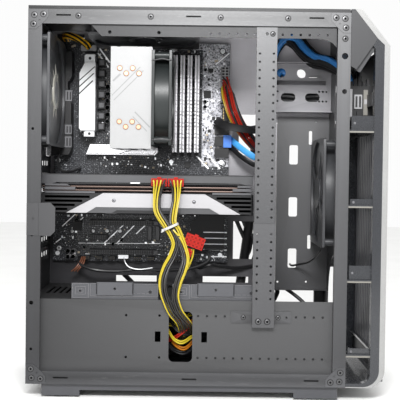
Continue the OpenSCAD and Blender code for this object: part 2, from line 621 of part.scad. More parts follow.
module cooler_cap() color(c_white) difference() {
    bx([cool_x[0], cap_y, cool_z[0]], [cool_x[1], cap_y + 2, cool_z[1]]);
    for (k = [0:3], s = [-1, 1]) cyl_y([pipe_x[k], -92, pipe_z(k) + s * pipe_r], 6.2, 6);
}

// ---------- fans ----------
module fan_frames() color(c_black) {
    translate(rearfan_c) rotate([0, 90, 0]) fan_frame(fan_s, fan_t, fan_bore, hub_d);
    translate(topfan_c + [0, 0, fan_t]) mirror([0, 0, 1]) fan_frame(fan_s, fan_t, fan_bore, hub_d);
    translate(frontfan_c) rotate([0, 90, 0]) fan_frame(fan_s, fan_t, fan_bore, hub_d);
    translate(coolfan_c) rotate([0, 90, 0]) fan_frame(cfan_s, fan_t, 114, 42);
}
module rear_fan_rotor() color(c_dark)
    translate(rearfan_c) rotate([0, 90, 0]) fan_rotor(fan_t, fan_bore, hub_d, blades);
module top_fan_rotor() color(c_dark)
    translate(topfan_c + [0, 0, fan_t]) mirror([0, 0, 1]) fan_rotor(fan_t, fan_bore, hub_d, blades);
module front_fan_rotor() color(c_dark)
    translate(frontfan_c) rotate([0, 90, 0]) fan_rotor(fan_t, fan_bore, hub_d, blades);
module cooler_fan_rotor() color(c_dark)
    translate(coolfan_c) rotate([0, 90, 0]) fan_rotor(fan_t, 114, 42, blades);

// ---------- graphics card ----------
module card_board() color(c_frame) {
    bx([-214, -55.8, card_z - 0.8], [52, 56.9, card_z + 0.8]);
    bx([-214, card_y, card_z + 1], [60, 54, card_hi]);
    // folded side strip
    bx([-214, card_y, 263], [60, card_y + 1.6, card_hi - 1]);
    difference() {
        bx([-217.6, card_y, 240], [-216.6, 62, card_hi]);
        for (k = [0:3]) bx([-219, -46 + 24 * k, 262], [-215, -32 + 24 * k, 268]);
        for (k = [0:7]) bx([-219, -48 + 12 * k, 244], [-215, -42 + 12 * k, 256]);
    }
    bx([-216.6, -50, card_hi - 4], [-214, 50, card_hi]);
}
module card_heatsink() color(c_silver)
    for (j = [0:24]) bx([-206 + 10.4 * j, -53, 241], [-204.6 + 10.4 * j, 52, 262]);
module card_pipes() color(c_copper)
    for (z = [259.3, 254.6]) cyl_x([-208, -55.3, z], 4.2, 258);
module card_shroud() color(c_black) {
    difference() {
        bx([-214, card_y, card_lo], [60, 56, 240.8]);
        for (x = cardfan_x) {
            translate([x, cardfan_y, card_lo - 1]) cylinder(d = 86, h = 14.3, $fn = 64);
            translate([x, cardfan_y, card_lo + 12]) cylinder(d = 80, h = 6, $fn = 64);
        }
    }
    // light plate on the side
    translate([0, card_y + 0.4, 0]) rotate([90, 0, 0]) linear_extrude(1.4)
        polygon([[-177.5, 226], [44.5, 226], [-1, 251.3], [-130.5, 251.3]]);
    for (x = cardfan_x) {
        translate([x, cardfan_y, 234]) difference() {
            cylinder(d = spindle_d + 8, h = 6.8, $fn = 40);
            translate([0, 0, -1]) cylinder(d = 2, h = 3, $fn = 24);
        }
        for (a = [30:120:270])
            translate([x, cardfan_y, 238]) rotate([0, 0, a]) translate([5, -2, 0]) cube([37, 4, 2.8]);
        translate([x, cardfan_y, 227]) cylinder(d = spindle_d, h = 7, $fn = 40);
    }
}
module card_rotor(x) translate([x, cardfan_y, 0]) {
    difference() {
        translate([0, 0, 225.4]) cylinder(d = 30, h = 8.2, $fn = 48);
        translate([0, 0, 226.6]) cylinder(d = spindle_d + 2 * run_gap, h = 9, $fn = 40);
    }
    for (k = [0:8])
        rotate([0, 0, 40 * k]) intersection() {
            translate([14.4, 0, 229.8]) rotate([24, 0, 0]) translate([0, -7, -0.6]) cube([30, 14, 1.2]);
            translate([0, 0, 224]) cylinder(r = 41.5, h = 12, $fn = 64);
        }
}
module card_rotor_a() color(c_dark) card_rotor(cardfan_x[0]);
module card_rotor_b() color(c_dark) card_rotor(cardfan_x[1]);
module card_rotor_c() color(c_dark) card_rotor(cardfan_x[2]);
module card_plugs() color(c_red) {
    for (x = [-69, -48]) {
        bx([x, -72, 259], [x + 19.8, card_y, 272.6]);
        bx([x + 6, -70, 272.6], [x + 14, -60, 274.6]);
    }
    // the spare plug that hangs on its lead
    translate([-15, -86, 192]) rotate([0, 20, 0]) {
        translate([-13, -6, -6]) cube([27, 12, 14]);
        translate([-4, -8, -3]) cube([8, 2, 8]);
    }
}

// ---------- power supply ----------
module psu_body() color(c_black) {
    difference() {
        bx(psu_lo, psu_hi);
        // the room inside the can, open to the rear vents
        bx(psu_lo + [1.2, 1.2, 26], psu_hi - [1.2, 1.2, 1.2]);
        translate([psu_c[0], psu_c[1], 19]) cylinder(d = 126, h = 25, $fn = 64);
        for (k = [0:5], z = [32, 48, 64, 80]) translate([-219, -66 + 20 * k, z]) cube([5, 12, 8]);
    }
    translate([psu_c[0], psu_c[1], 29.5]) cylinder(d = spindle_d, h = 14.5, $fn = 40);
    for (y = [-70, -45, -20, 5, 30]) bx([-67.6, y, 40], [-63, y + 20, 52]);
    // mains inlet and switch on the back
    difference() {
        bx([-219.4, 30, 32], [-217, 58, 54]);
        bx([-220, 33, 35], [-218.6, 55, 51]);
    }
    bx([-219, 33, 62], [psu_lo[0] + 0.6, 55, 82]);
}
module psu_rotor() color(c_dark) translate([psu_c[0], psu_c[1], 43]) mirror([0, 0, 1])
    fan_rotor(20, 123, 40, blades);

// ---------- cables ----------
module power_cables() {
    color([0.9, 0.75, 0.2]) tube(pcie_l, 3.4, [1, 0, 0]);
    color([0.2, 0.2, 0.2]) tube(pcie_r, 3.2, [1, 0, 0]);
    color([0.8, 0.3, 0.1]) tube(atx, 7, [0, 0, 1], 10);
    color(c_dark) tube(eps, 3.4, [1, 0, 0]);
    color([0.9, 0.75, 0.2]) tube(spare_lead, 2.2, [0, 1, 0.2]);
}
module data_cables() {
    color([0.25, 0.6, 0.95]) tube(sata, 2.6, [0, 0.1, 1]);
    color([0.1, 0.3, 0.7]) tube(usb, 3, [0, 1, 0]);
    color(c_dark) tube(frontlead, 1.6, [1, 0, 0]);
    color(c_dark) tube(looplead, 2, [1, 0, 0]);
}

chassis_floor();
rear_panel();
front_wall();
chassis_top();
motherboard_tray();
side_frame_left();
side_frame_right();
corner_brackets();
frame_screws();
top_cover();
top_flange();
slot_lock_plate();
slot_covers();
psu_shroud();
drive_caddies();
support_column_upper();
support_column_lower();
column_bracket();
cable_cover_plate();
drive_bracket();
base_feet();
foot_pads();
floor_filter();
bezel_frame();
bezel_trim();
bezel_gussets();
front_panel();
front_io();
power_button();
reset_button();
board_pcb();
board_standoffs();
rear_ports();
board_heatsinks();
board_parts();
memory_slots();
memory_modules();
expansion_slots();
board_sockets();
cooler_base();
cooler_pipes();
cooler_fins();
cooler_cap();
fan_frames();
rear_fan_rotor();
top_fan_rotor();
front_fan_rotor();
cooler_fan_rotor();
card_board();
card_heatsink();
card_pipes();
card_shroud();
card_rotor_a();
card_rotor_b();
card_rotor_c();
card_plugs();
psu_body();
psu_rotor();
power_cables();
data_cables();
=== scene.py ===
"""Looks of the desktop computer tower. Sizes here are in millimetres and become metres in build()."""

import json
import math
import random

import bpy
from mathutils import Matrix, Vector


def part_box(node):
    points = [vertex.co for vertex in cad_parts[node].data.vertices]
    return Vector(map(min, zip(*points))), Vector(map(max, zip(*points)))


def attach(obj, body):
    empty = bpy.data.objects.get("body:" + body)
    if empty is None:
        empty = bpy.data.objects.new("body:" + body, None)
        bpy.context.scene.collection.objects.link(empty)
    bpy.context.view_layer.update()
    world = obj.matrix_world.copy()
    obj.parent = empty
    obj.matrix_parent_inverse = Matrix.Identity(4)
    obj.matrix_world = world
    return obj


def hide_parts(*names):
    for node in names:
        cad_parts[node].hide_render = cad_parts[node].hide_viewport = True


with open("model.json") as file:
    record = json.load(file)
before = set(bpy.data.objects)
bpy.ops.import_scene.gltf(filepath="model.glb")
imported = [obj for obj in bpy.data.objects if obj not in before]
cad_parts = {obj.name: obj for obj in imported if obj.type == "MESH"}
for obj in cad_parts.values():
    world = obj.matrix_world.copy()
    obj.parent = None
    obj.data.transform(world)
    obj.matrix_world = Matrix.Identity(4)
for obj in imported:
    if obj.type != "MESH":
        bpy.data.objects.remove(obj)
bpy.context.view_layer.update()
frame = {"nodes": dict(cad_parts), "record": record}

MM = 0.001
BODY = "chassis"
rng = random.Random(7)
scene = bpy.context.scene


# ---------------------------------------------------------------- places
def node_box(node):
    """A CAD node's two corners in millimetres."""
    lo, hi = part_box(node)
    return [v / MM for v in lo], [v / MM for v in hi]


# ---------------------------------------------------------------- shapes
class Shape:
    """Faces gathered in millimetres, each with the number of its material."""

    def __init__(self):
        self.verts = []
        self.faces = []
        self.slots = []

    def add(self, verts, faces, slot=0):
        base = len(self.verts)
        self.verts += [tuple(v) for v in verts]
        self.faces += [tuple(base + i for i in f) for f in faces]
        self.slots += [slot] * len(faces)

    def box(self, lo, hi, slot=0):
        (x0, y0, z0), (x1, y1, z1) = lo, hi
        v = [(x, y, z) for x in (x0, x1) for y in (y0, y1) for z in (z0, z1)]
        f = [(0, 1, 3, 2), (4, 6, 7, 5), (0, 4, 5, 1), (2, 3, 7, 6), (0, 2, 6, 4), (1, 5, 7, 3)]
        self.add(v, f, slot)

    def prism(self, outline, lo, hi, axis="y", slot=0):
        """An outline across an axis, from lo to hi along it. Its points run (x, z), (y, z) or (x, y)."""

        def at(p, h):
            return {"x": (h, p[0], p[1]), "y": (p[0], h, p[1]), "z": (p[0], p[1], h)}[axis]

        n = len(outline)
        v = [at(p, lo) for p in outline] + [at(p, hi) for p in outline]
        f = [tuple(range(n - 1, -1, -1)), tuple(range(n, 2 * n))]
        f += [(i, (i + 1) % n, n + (i + 1) % n, n + i) for i in range(n)]
        self.add(v, f, slot)

    def lathe(self, profile, place, sides=32, slot=0):
        """A profile of (radius, height) turned about the local third axis; place maps local to row."""
        m = len(profile)
        v = []
        for r, h in profile:
            for k in range(sides):
                a = 2 * math.pi * k / sides
                v.append(place(r * math.cos(a), r * math.sin(a), h))
        f = []
        for i in range(m - 1):
            for k in range(sides):
                j = (k + 1) % sides
                f.append((i * sides + k, i * sides + j, (i + 1) * sides + j, (i + 1) * sides + k))
        if profile[0][0] > 0.01:
            f.append(tuple(range(sides - 1, -1, -1)))
        if profile[-1][0] > 0.01:
            f.append(tuple(range((m - 1) * sides, m * sides)))
        self.add(v, f, slot)

    def tube(self, path, radius, sides=8, slot=0, flat=1.0, up=(0, 0, 1)):
        """A round or flattened cord along a path, with closed ends."""
        pts = [Vector(p) for p in path]
        n = len(pts)
        normal = Vector(up)
        v = []
        for i, p in enumerate(pts):
            t = (pts[min(i + 1, n - 1)] - pts[max(i - 1, 0)]).normalized()
            normal = normal - t * normal.dot(t)
            if normal.length < 0.05:
                normal = t.orthogonal()
            normal.normalize()
            side = t.cross(normal)
            for k in range(sides):
                a = 2 * math.pi * k / sides
                v.append(p + radius * (math.cos(a) * normal + flat * math.sin(a) * side))
        f = []
        for i in range(n - 1):
            for k in range(sides):
                j = (k + 1) % sides
                f.append((i * sides + k, i * sides + j, (i + 1) * sides + j, (i + 1) * sides + k))
        f.append(tuple(range(sides - 1, -1, -1)))
        f.append(tuple(range((n - 1) * sides, n * sides)))
        self.add(v, f, slot)


def build(name, shape, mats, body=BODY, replaces=(), bevel=0.0, smooth=True, segments=2):
    """Makes one piece, in metres, that rides on a body."""
    mesh = bpy.data.meshes.new(name)
    mesh.from_pydata([[c * MM for c in v] for v in shape.verts], [], shape.faces)
    mats = mats if isinstance(mats, (list, tuple)) else [mats]
    for m in mats:
        mesh.materials.append(m)
    for p, s in zip(mesh.polygons, shape.slots):
        p.material_index = s
    mesh.validate()
    obj = bpy.data.objects.new(name, mesh)
    scene.collection.objects.link(obj)
    if bevel:
        mod = obj.modifiers.new("soft_edges", "BEVEL")
        mod.width = bevel * MM
        mod.segments = segments
        mod.limit_method = "ANGLE"
        mod.angle_limit = math.radians(40)
        mod.harden_normals = False
    if smooth:
        for p in mesh.polygons:
            p.use_smooth = True
        mod = obj.modifiers.new("flat_faces", "WEIGHTED_NORMAL")
        mod.keep_sharp = True
        mesh.set_sharp_from_angle(angle=math.radians(38))
    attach(obj, body)
    if replaces:
        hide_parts(*replaces)
    return obj


def rounded(x0, z0, x1, z1, r, steps=5):
    """A rectangle's outline with round corners."""
    out = []
    for cx, cz, a0 in ((x1 - r, z1 - r, 0), (x0 + r, z1 - r, 90), (x0 + r, z0 + r, 180), (x1 - r, z0 + r, 270)):
        for k in range(steps + 1):
            a = math.radians(a0 + 90 * k / steps)
            out.append((cx + r * math.cos(a), cz + r * math.sin(a)))
    return out


def smooth_path(points, per=6):
    """A Catmull-Rom curve through the points."""
    p = [Vector(q) for q in points]
    p = [2 * p[0] - p[1]] + p + [2 * p[-1] - p[-2]]
    out = []
    for i in range(1, len(p) - 2):
        for k in range(per):
            t = k / per
            out.append(0.5 * ((2 * p[i]) + (p[i + 1] - p[i - 1]) * t
                              + (2 * p[i - 1] - 5 * p[i] + 4 * p[i + 1] - p[i + 2]) * t * t
                              + (3 * p[i] - p[i - 1] - 3 * p[i + 1] + p[i + 2]) * t ** 3))
    out.append(p[-2])
    return out


# ---------------------------------------------------------------- materials
def node_tree(name):
    m = bpy.data.materials.new(name)
    m.use_nodes = True
    t = m.node_tree
    shader = t.nodes["Principled BSDF"]
    coords = t.nodes.new("ShaderNodeTexCoord")
    return m, t, shader, coords.outputs["Object"]


def noise(t, vector, scale, detail=3.0, rough=0.55, stretch=None):
    """A noise texture's factor, in the row frame, with the scale in cells per metre."""
    if stretch:
        mapping = t.nodes.new("ShaderNodeMapping")
        mapping.inputs["Scale"].default_value = stretch
        t.links.new(vector, mapping.inputs["Vector"])
        vector = mapping.outputs["Vector"]
    n = t.nodes.new("ShaderNodeTexNoise")
    n.inputs["Scale"].default_value = scale
    n.inputs["Detail"].default_value = detail
    n.inputs["Roughness"].default_value = rough
    t.links.new(vector, n.inputs["Vector"])
    return n.outputs["Fac"]


def ramp(t, factor, stops):
    """Colours along a factor; stops are (place, colour)."""
    r = t.nodes.new("ShaderNodeValToRGB")
    e = r.color_ramp.elements
    while len(e) < len(stops):
        e.new(0.5)
    for el, (pos, col) in zip(e, stops):
        el.position = pos
        el.color = (*col, 1.0)
    t.links.new(factor, r.inputs["Fac"])
    return r.outputs["Color"]


def mix(t, factor, a, b, kind="MIX"):
    n = t.nodes.new("ShaderNodeMix")
    n.data_type = "RGBA"
    n.blend_type = kind
    if isinstance(factor, float):
        n.inputs[0].default_value = factor
    else:
        t.links.new(factor, n.inputs[0])
    for i, c in ((6, a), (7, b)):
        if isinstance(c, tuple):
            n.inputs[i].default_value = (*c, 1.0)
        else:
            t.links.new(c, n.inputs[i])
    return n.outputs[2]


def span(t, value, low, high, to_low=0.0, to_high=1.0):
    n = t.nodes.new("ShaderNodeMapRange")
    n.inputs["From Min"].default_value = low
    n.inputs["From Max"].default_value = high
    n.inputs["To Min"].default_value = to_low
    n.inputs["To Max"].default_value = to_high
    t.links.new(value, n.inputs["Value"])
    return n.outputs["Result"]


def shade(color, k):
    return tuple(min(1.0, c * k) for c in color)


def bump(t, shader, height, strength, distance):
    b = t.nodes.new("ShaderNodeBump")
    b.inputs["Strength"].default_value = strength
    b.inputs["Distance"].default_value = distance * MM
    t.links.new(height, b.inputs["Height"])
    t.links.new(b.outputs["Normal"], shader.inputs["Normal"])


def surface(name, color, rough, metallic=0.0, grain=1500, grain_mm=0.06, vary=0.12, stretch=None, coat=0.0,
            strength=0.35, rough_vary=0.12, gloss=0.5):
    """A plain finish: colour drifts with a slow noise, gloss and height with a fine one."""
    m, t, s, v = node_tree(name)
    slow = noise(t, v, 14, 4)
    fine = noise(t, v, grain, 2, 0.6, stretch)
    base = ramp(t, slow, [(0.3, shade(color, 1 - vary)), (0.7, shade(color, 1 + vary))])
    speck = ramp(t, fine, [(0.35, shade((1, 1, 1), 0.93)), (0.65, (1, 1, 1))])
    t.links.new(mix(t, 1.0, base, speck, "MULTIPLY"), s.inputs["Base Color"])
    t.links.new(span(t, fine, 0.3, 0.7, rough - rough_vary / 2, rough + rough_vary / 2), s.inputs["Roughness"])
    s.inputs["Metallic"].default_value = metallic
    s.inputs["Coat Weight"].default_value = coat
    s.inputs["Specular IOR Level"].default_value = gloss
    bump(t, s, fine, strength, grain_mm)
    return m


def powder_coat(name, color, rough=0.5, gloss=0.5):
    """Fine textured coat on sheet steel with handling marks; sharp edges are lighter, partly rubbed paint and partly a
    painted edge highlight. Painted shade makes it darker low down and towards the left, and a painted sheen raises its
    gloss towards the top and right.
    """
    m, t, s, v = node_tree(name)
    slow = noise(t, v, 9, 5)
    fine = noise(t, v, 1300, 2, 0.7)
    marks = noise(t, v, 40, 6, 0.7, (1, 1, 7))
    geo = t.nodes.new("ShaderNodeNewGeometry")
    split = t.nodes.new("ShaderNodeSeparateXYZ")
    t.links.new(v, split.inputs[0])
    height = span(t, split.outputs["Z"], 0.0, 0.48)
    base = ramp(t, slow, [(0.3, shade(color, 0.92)), (0.7, shade(color, 1.08))])
    dust = ramp(t, marks, [(0.55, (0, 0, 0)), (0.8, (0.10, 0.10, 0.10))])
    base = mix(t, 0.6, base, dust, "ADD")
    speck = ramp(t, fine, [(0.38, (0.86, 0.86, 0.86)), (0.62, (1, 1, 1))])
    base = mix(t, 1.0, base, speck, "MULTIPLY")
    # sharp edges lighter: partly rubbed paint, partly a painted edge highlight
    edge = span(t, geo.outputs["Pointiness"], 0.52, 0.6)
    base = mix(t, edge, base, shade(color, 1.7))
    # painted shade: darker low down and towards the left, where less light falls
    painted_floor_shade = ramp(t, height, [(0.04, (0.98,) * 3), (0.10, (0.62,) * 3), (0.50, (0.66,) * 3), (0.97, (1,) * 3)])
    across = ramp(t, span(t, split.outputs["X"], -0.22, -0.04), [(0.0, (0.66,) * 3), (1.0, (1,) * 3)])
    base = mix(t, 1.0, mix(t, 1.0, base, painted_floor_shade, "MULTIPLY"), across, "MULTIPLY")
    t.links.new(base, s.inputs["Base Color"])
    t.links.new(span(t, fine, 0.3, 0.7, rough - 0.08, rough + 0.1), s.inputs["Roughness"])
    # painted sheen: the gloss rises with height and towards the right, a painted highlight
    painted_sheen = span(t, height, 0.1, 0.97, gloss * 0.62, gloss * 1.25)
    t.links.new(mix(t, 1.0, painted_sheen, across, "MULTIPLY"), s.inputs["Specular IOR Level"])
    bump(t, s, fine, 0.3, 0.05)
    return m


def brushed(name, color, rough=0.32, stretch=(1, 1, 60)):
    m, t, s, v = node_tree(name)
    lines = noise(t, v, 500, 3, 0.6, stretch)
    slow = noise(t, v, 20, 3)
    base = ramp(t, lines, [(0.3, shade(color, 0.82)), (0.7, shade(color, 1.1))])
    base = mix(t, 0.35, base, ramp(t, slow, [(0.3, shade(color, 0.8)), (0.7, color)]))
    t.links.new(base, s.inputs["Base Color"])
    t.links.new(span(t, lines, 0.3, 0.7, rough - 0.08, rough + 0.12), s.inputs["Roughness"])
    s.inputs["Metallic"].default_value = 1.0
    bump(t, s, lines, 0.2, 0.03)
    return m


def board_face(name):
    """Dark solder mask with fine tracks, pads and print."""
    m, t, s, v = node_tree(name)
    cells = t.nodes.new("ShaderNodeTexVoronoi")
    cells.distance = "CHEBYCHEV"
    cells.inputs["Scale"].default_value = 260
    t.links.new(v, cells.inputs["Vector"])
    grid = t.nodes.new("ShaderNodeTexBrick")
    mapping = t.nodes.new("ShaderNodeMapping")
    mapping.inputs["Rotation"].default_value = (math.radians(90), 0, 0)
    t.links.new(v, mapping.inputs["Vector"])
    t.links.new(mapping.outputs["Vector"], grid.inputs["Vector"])
    grid.inputs["Scale"].default_value = 90
    grid.inputs["Mortar Size"].default_value = 0.03
    grid.inputs["Color1"].default_value = (0.010, 0.011, 0.014, 1)
    grid.inputs["Color2"].default_value = (0.018, 0.019, 0.023, 1)
    grid.inputs["Mortar"].default_value = (0.05, 0.052, 0.058, 1)
    patch = noise(t, v, 28, 3, 0.6)
    fine = noise(t, v, 900, 1, 0.5)
    base = grid.outputs["Color"]
    pads = ramp(t, cells.outputs["Distance"], [(0.16, (0.55, 0.56, 0.58)), (0.22, (0.0, 0.0, 0.0))])
    where = ramp(t, patch, [(0.52, (0, 0, 0)), (0.6, (1, 1, 1))])
    pads = mix(t, 1.0, pads, where, "MULTIPLY")
    base = mix(t, 1.0, base, pads, "ADD")
    dots = ramp(t, fine, [(0.66, (0, 0, 0)), (0.7, (0.35, 0.36, 0.38))])
    base = mix(t, 1.0, base, dots, "ADD")
    t.links.new(base, s.inputs["Base Color"])
    t.links.new(span(t, fine, 0.3, 0.7, 0.25, 0.45), s.inputs["Roughness"])
    s.inputs["Coat Weight"].default_value = 0.05
    s.inputs["Specular IOR Level"].default_value = 0.25
    bump(t, s, cells.outputs["Distance"], 0.4, 0.12)
    return m


FRAME = powder_coat("frame_coat", (0.040, 0.0404, 0.0430), 0.42)
SHEET = powder_coat("sheet_coat", (0.047, 0.0472, 0.0500), 0.42)
SHROUD = powder_coat("shroud_coat", (0.046, 0.0462, 0.0478), 0.46, 0.48)


def tray_coat():
    """Light coat with painted shade: darker towards the floor of the case under the card, with less painted shade on
    the right.
    """
    m = powder_coat("tray_coat", (0.50, 0.488, 0.520), 0.5)
    t = m.node_tree
    shader = t.nodes["Principled BSDF"]
    coords = t.nodes.new("ShaderNodeTexCoord")
    split = t.nodes.new("ShaderNodeSeparateXYZ")
    t.links.new(coords.outputs["Object"], split.inputs[0])
    # painted shade low down under the card, mottled a little, and lifted on the right
    low = span(t, split.outputs["Z"], 0.10, 0.31)
    cloud = noise(t, coords.outputs["Object"], 26, 3)
    low = mix(t, 0.12, ramp(t, low, [(0.0, (0.045, 0.045, 0.05)), (0.55, (0.11, 0.11, 0.115)), (1.0, (1, 1, 1))]),
              ramp(t, cloud, [(0.3, (0.3, 0.3, 0.3)), (0.7, (1, 1, 1))]), "MULTIPLY")
    right = ramp(t, span(t, split.outputs["X"], 0.02, 0.06), [(0.0, (0, 0, 0)), (1.0, (0.24, 0.24, 0.245))])
    low = mix(t, 1.0, low, right, "LIGHTEN")
    old = shader.inputs["Base Color"].links[0].from_socket
    t.links.new(mix(t, 1.0, old, low, "MULTIPLY"), shader.inputs["Base Color"])
    return m


TRAY = tray_coat()
DIM = powder_coat("dim_coat", (0.017, 0.0172, 0.0185), 0.46, 0.28)
TRAYDARK = powder_coat("bracket_coat", (0.20, 0.197, 0.21), 0.45)
FANGREY = surface("fan_grey", (0.034, 0.035, 0.038), 0.38, grain=1100, gloss=0.4)
GLOSS = surface("gloss_black", (0.015, 0.018, 0.018), 0.36, grain=900, gloss=0.3, strength=0.1)
BLADE = surface("blade_black", (0.085, 0.087, 0.092), 0.22, grain=900, coat=0.6, strength=0.1)
# rear fan blades: the blade plastic painted pale, a painted reflection of the studio light
BLADE_PAINTED_LIGHT = surface("blade_painted_light", (0.36, 0.35, 0.31), 0.3, grain=900, vary=0.2, coat=0.2, strength=0.1)
DARK = surface("dark_plastic", (0.045, 0.046, 0.052), 0.45, grain=1100)
BLACK = surface("black_plastic", (0.009, 0.009, 0.010), 0.42, grain=1100, gloss=0.3)
GREYP = surface("grey_plastic", (0.10, 0.10, 0.108), 0.45, grain=1100)
BAND = surface("band_plastic", (0.016, 0.0175, 0.0215), 0.25, coat=0.35, grain=900)
TRIM = surface("trim_silver", (0.255, 0.255, 0.252), 0.3, metallic=0.1, grain=2200, vary=0.05)
RUBBER = surface("pad_rubber", (0.02, 0.02, 0.02), 0.85, grain=700, grain_mm=0.15)
WHITE = surface("white_coat", (0.82, 0.83, 0.84), 0.35, grain=1600, vary=0.04, coat=0.2)
SILVER = brushed("light_metal", (0.80, 0.81, 0.83))
FINS = brushed("fin_metal", (0.62, 0.62, 0.64), 0.4)
PLATED = brushed("plated_steel", (0.55, 0.55, 0.57), 0.3, (1, 1, 1))
COPPER = brushed("copper_pipe", (0.72, 0.38, 0.24), 0.28, (60, 1, 1))
BRASS = brushed("brass_post", (0.60, 0.46, 0.24), 0.35, (1, 1, 1))
SCREW = brushed("screw_steel", (0.30, 0.30, 0.32), 0.35, (1, 1, 1))
RED = surface("red_plug", (0.37, 0.018, 0.012), 0.45, grain=900, vary=0.08, gloss=0.12)
LEAD_GREY = surface("lead_grey", (0.016, 0.015, 0.014), 0.38, grain=600, gloss=0.4)
# yellow wire painted brighter and more orange: painted light on the top lead, which hangs in shade
YELLOW_W_PAINTED_LIGHT = surface("wire_yellow_painted_light", (0.95, 0.52, 0.02), 0.4, grain=600, vary=0.08, gloss=0.15)
YELLOW_W = surface("wire_yellow", (0.42, 0.33, 0.022), 0.34, grain=600, vary=0.08, gloss=0.35)
BLACK_W = surface("wire_black", (0.013, 0.013, 0.014), 0.4, grain=600, gloss=0.35)
RED_W = surface("wire_red", (0.24, 0.012, 0.006), 0.38, grain=600, vary=0.08, gloss=0.15)
ORANGE_W = surface("wire_orange", (0.30, 0.10, 0.008), 0.38, grain=600, vary=0.08, gloss=0.15)
BLUE_W = surface("wire_blue", (0.02, 0.16, 0.62), 0.4, grain=600, vary=0.08)
SKY_W = surface("flat_blue", (0.08, 0.42, 0.90), 0.42, grain=600, vary=0.06)
TIE = surface("white_nylon", (0.40, 0.40, 0.39), 0.4, grain=900, vary=0.04)
BOARD = board_face("board_mask")
PRINT = surface("white_print", (0.90, 0.91, 0.93), 0.5, metallic=0.55, grain=2500, vary=0.06)
CHIP = surface("chip_black", (0.014, 0.014, 0.015), 0.5, grain=1800, vary=0.15, gloss=0.3)
CAN = surface("capacitor_can", (0.60, 0.60, 0.61), 0.35, metallic=0.2, grain=1600)
CARDGREY = surface("card_grey", (0.050, 0.0505, 0.054), 0.4, metallic=0.2, grain=1800)
CARDWHITE = surface("card_silver", (0.34, 0.335, 0.345), 0.38, metallic=0.4, grain=1800, vary=0.05, stretch=(40, 1, 1))

CAPWHITE = surface("cap_white", (0.275, 0.276, 0.278), 0.35, grain=1600, vary=0.03, coat=0.2)
SCREWHEAD = surface("screw_head", (0.085, 0.085, 0.088), 0.3, metallic=0.5, grain=1600)
CREAM = surface("cream_plastic", (0.16, 0.153, 0.135), 0.45, grain=1400, vary=0.06)
CAPLINE = surface("cap_line", (0.185, 0.187, 0.190), 0.4, grain=1600, vary=0.04)
TIP = surface("pipe_tip", (0.24, 0.135, 0.085), 0.3, grain=900, vary=0.1)
TAN = surface("tan_part", (0.45, 0.38, 0.27), 0.5, grain=1800)
MEMORY = surface("memory_metal", (0.66, 0.65, 0.68), 0.35, metallic=0.3, grain=700, grain_mm=0.3, vary=0.3,
                 stretch=(1, 1, 3), strength=0.8)
STICK = surface("memory_board", (0.34, 0.34, 0.35), 0.4, grain=900, vary=0.2)
POLISH = brushed("polished_metal", (0.86, 0.86, 0.88), 0.22, (30, 1, 1))
SOCKETGREY = surface("socket_grey", (0.30, 0.30, 0.31), 0.45, grain=1400)
DARKFIN = brushed("dark_fin", (0.10, 0.10, 0.11), 0.4, (1, 1, 1))
DULLCOPPER = brushed("dull_copper", (0.085, 0.062, 0.054), 0.35, (60, 1, 1))
CARDDARK = surface("card_dark", (0.055, 0.055, 0.06), 0.42, grain=1400)
# darker red on each cell's face: painted shade inside the pin holes
RED_HOLE_SHADE = surface("plug_hole_painted_shade", (0.15, 0.007, 0.005), 0.5, grain=900, gloss=0.1)
SLEEVE = surface("black_sleeve", (0.012, 0.012, 0.013), 0.6, grain=1600, grain_mm=0.3, strength=0.6, gloss=0.25)
SKYDARK = surface("deep_blue", (0.03, 0.20, 0.55), 0.4, grain=600, vary=0.08)
ORANGEDIM = surface("orange_dim", (0.20, 0.075, 0.04), 0.5, grain=600, vary=0.1)
PSUBLACK = powder_coat("supply_coat", (0.022, 0.022, 0.024))


def bright_board(name):
    """Glossy board face with painted light: pale specks for print and painted glints between dark parts, brightened in
    slow patches of painted light.
    """
    m, t, s, v = node_tree(name)
    slow = noise(t, v, 34, 3, 0.6)
    fine = noise(t, v, 420, 3, 0.75)
    tiny = noise(t, v, 1100, 2, 0.6)
    base = ramp(t, fine, [(0.36, (0.05, 0.05, 0.055)), (0.47, (0.42, 0.42, 0.45)), (0.62, (0.85, 0.86, 0.9))])
    # painted light: slow patches that brighten the face
    light = ramp(t, slow, [(0.4, (0.55, 0.55, 0.57)), (0.62, (1, 1, 1))])
    base = mix(t, 1.0, base, light, "MULTIPLY")
    base = mix(t, 0.5, base, ramp(t, tiny, [(0.4, (0.2, 0.2, 0.2)), (0.6, (1, 1, 1))]), "MULTIPLY")
    t.links.new(base, s.inputs["Base Color"])
    t.links.new(span(t, fine, 0.3, 0.7, 0.2, 0.45), s.inputs["Roughness"])
    s.inputs["Metallic"].default_value = 0.3
    bump(t, s, fine, 0.4, 0.15)
    return m


BRIGHT = bright_board("board_bright")

PIPE_Z = ((406.9, 340.9), (400.5, 334.5))
BOARD_LINES = [((12.4, 47.8), (30.7, 65.2), 1.2), ((24.2, 43.3), (41.7, 60.7), 1.2), ((1.4, 23.3), (10.7, 30.6), 1.2),
               ((71.7, 25.3), (102.2, 54.7), 1.2), ((89.0, 25.0), (117.7, 54.9), 1.2), ((115.9, 38.4), (134.6, 56.4), 1.2),
               ((213.5, 41.9), (243.0, 41.9), 1.3), ((216.0, 33.5), (243.0, 33.5), 1.3), ((212.0, 25.5), (243.0, 25.5), 1.3),
               ((222.0, 17.3), (243.0, 17.3), 1.3), ((214.0, 8.0), (243.0, 8.0), 1.2), ((62.1, 296.5), (76.7, 277.0), 1.6),
               ((58.6, 291.2), (74.9, 270.5), 1.6), ((224.0, 276.0), (243.0, 292.0), 1.2), ((196.0, 152.0), (216.0, 131.0), 1.6),
               ((210.0, 156.0), (232.0, 131.0), 1.6), ((35.0, 24.6), (150.0, 25.2), 0.7), ((45.0, 9.5), (150.0, 10.2), 0.6)]
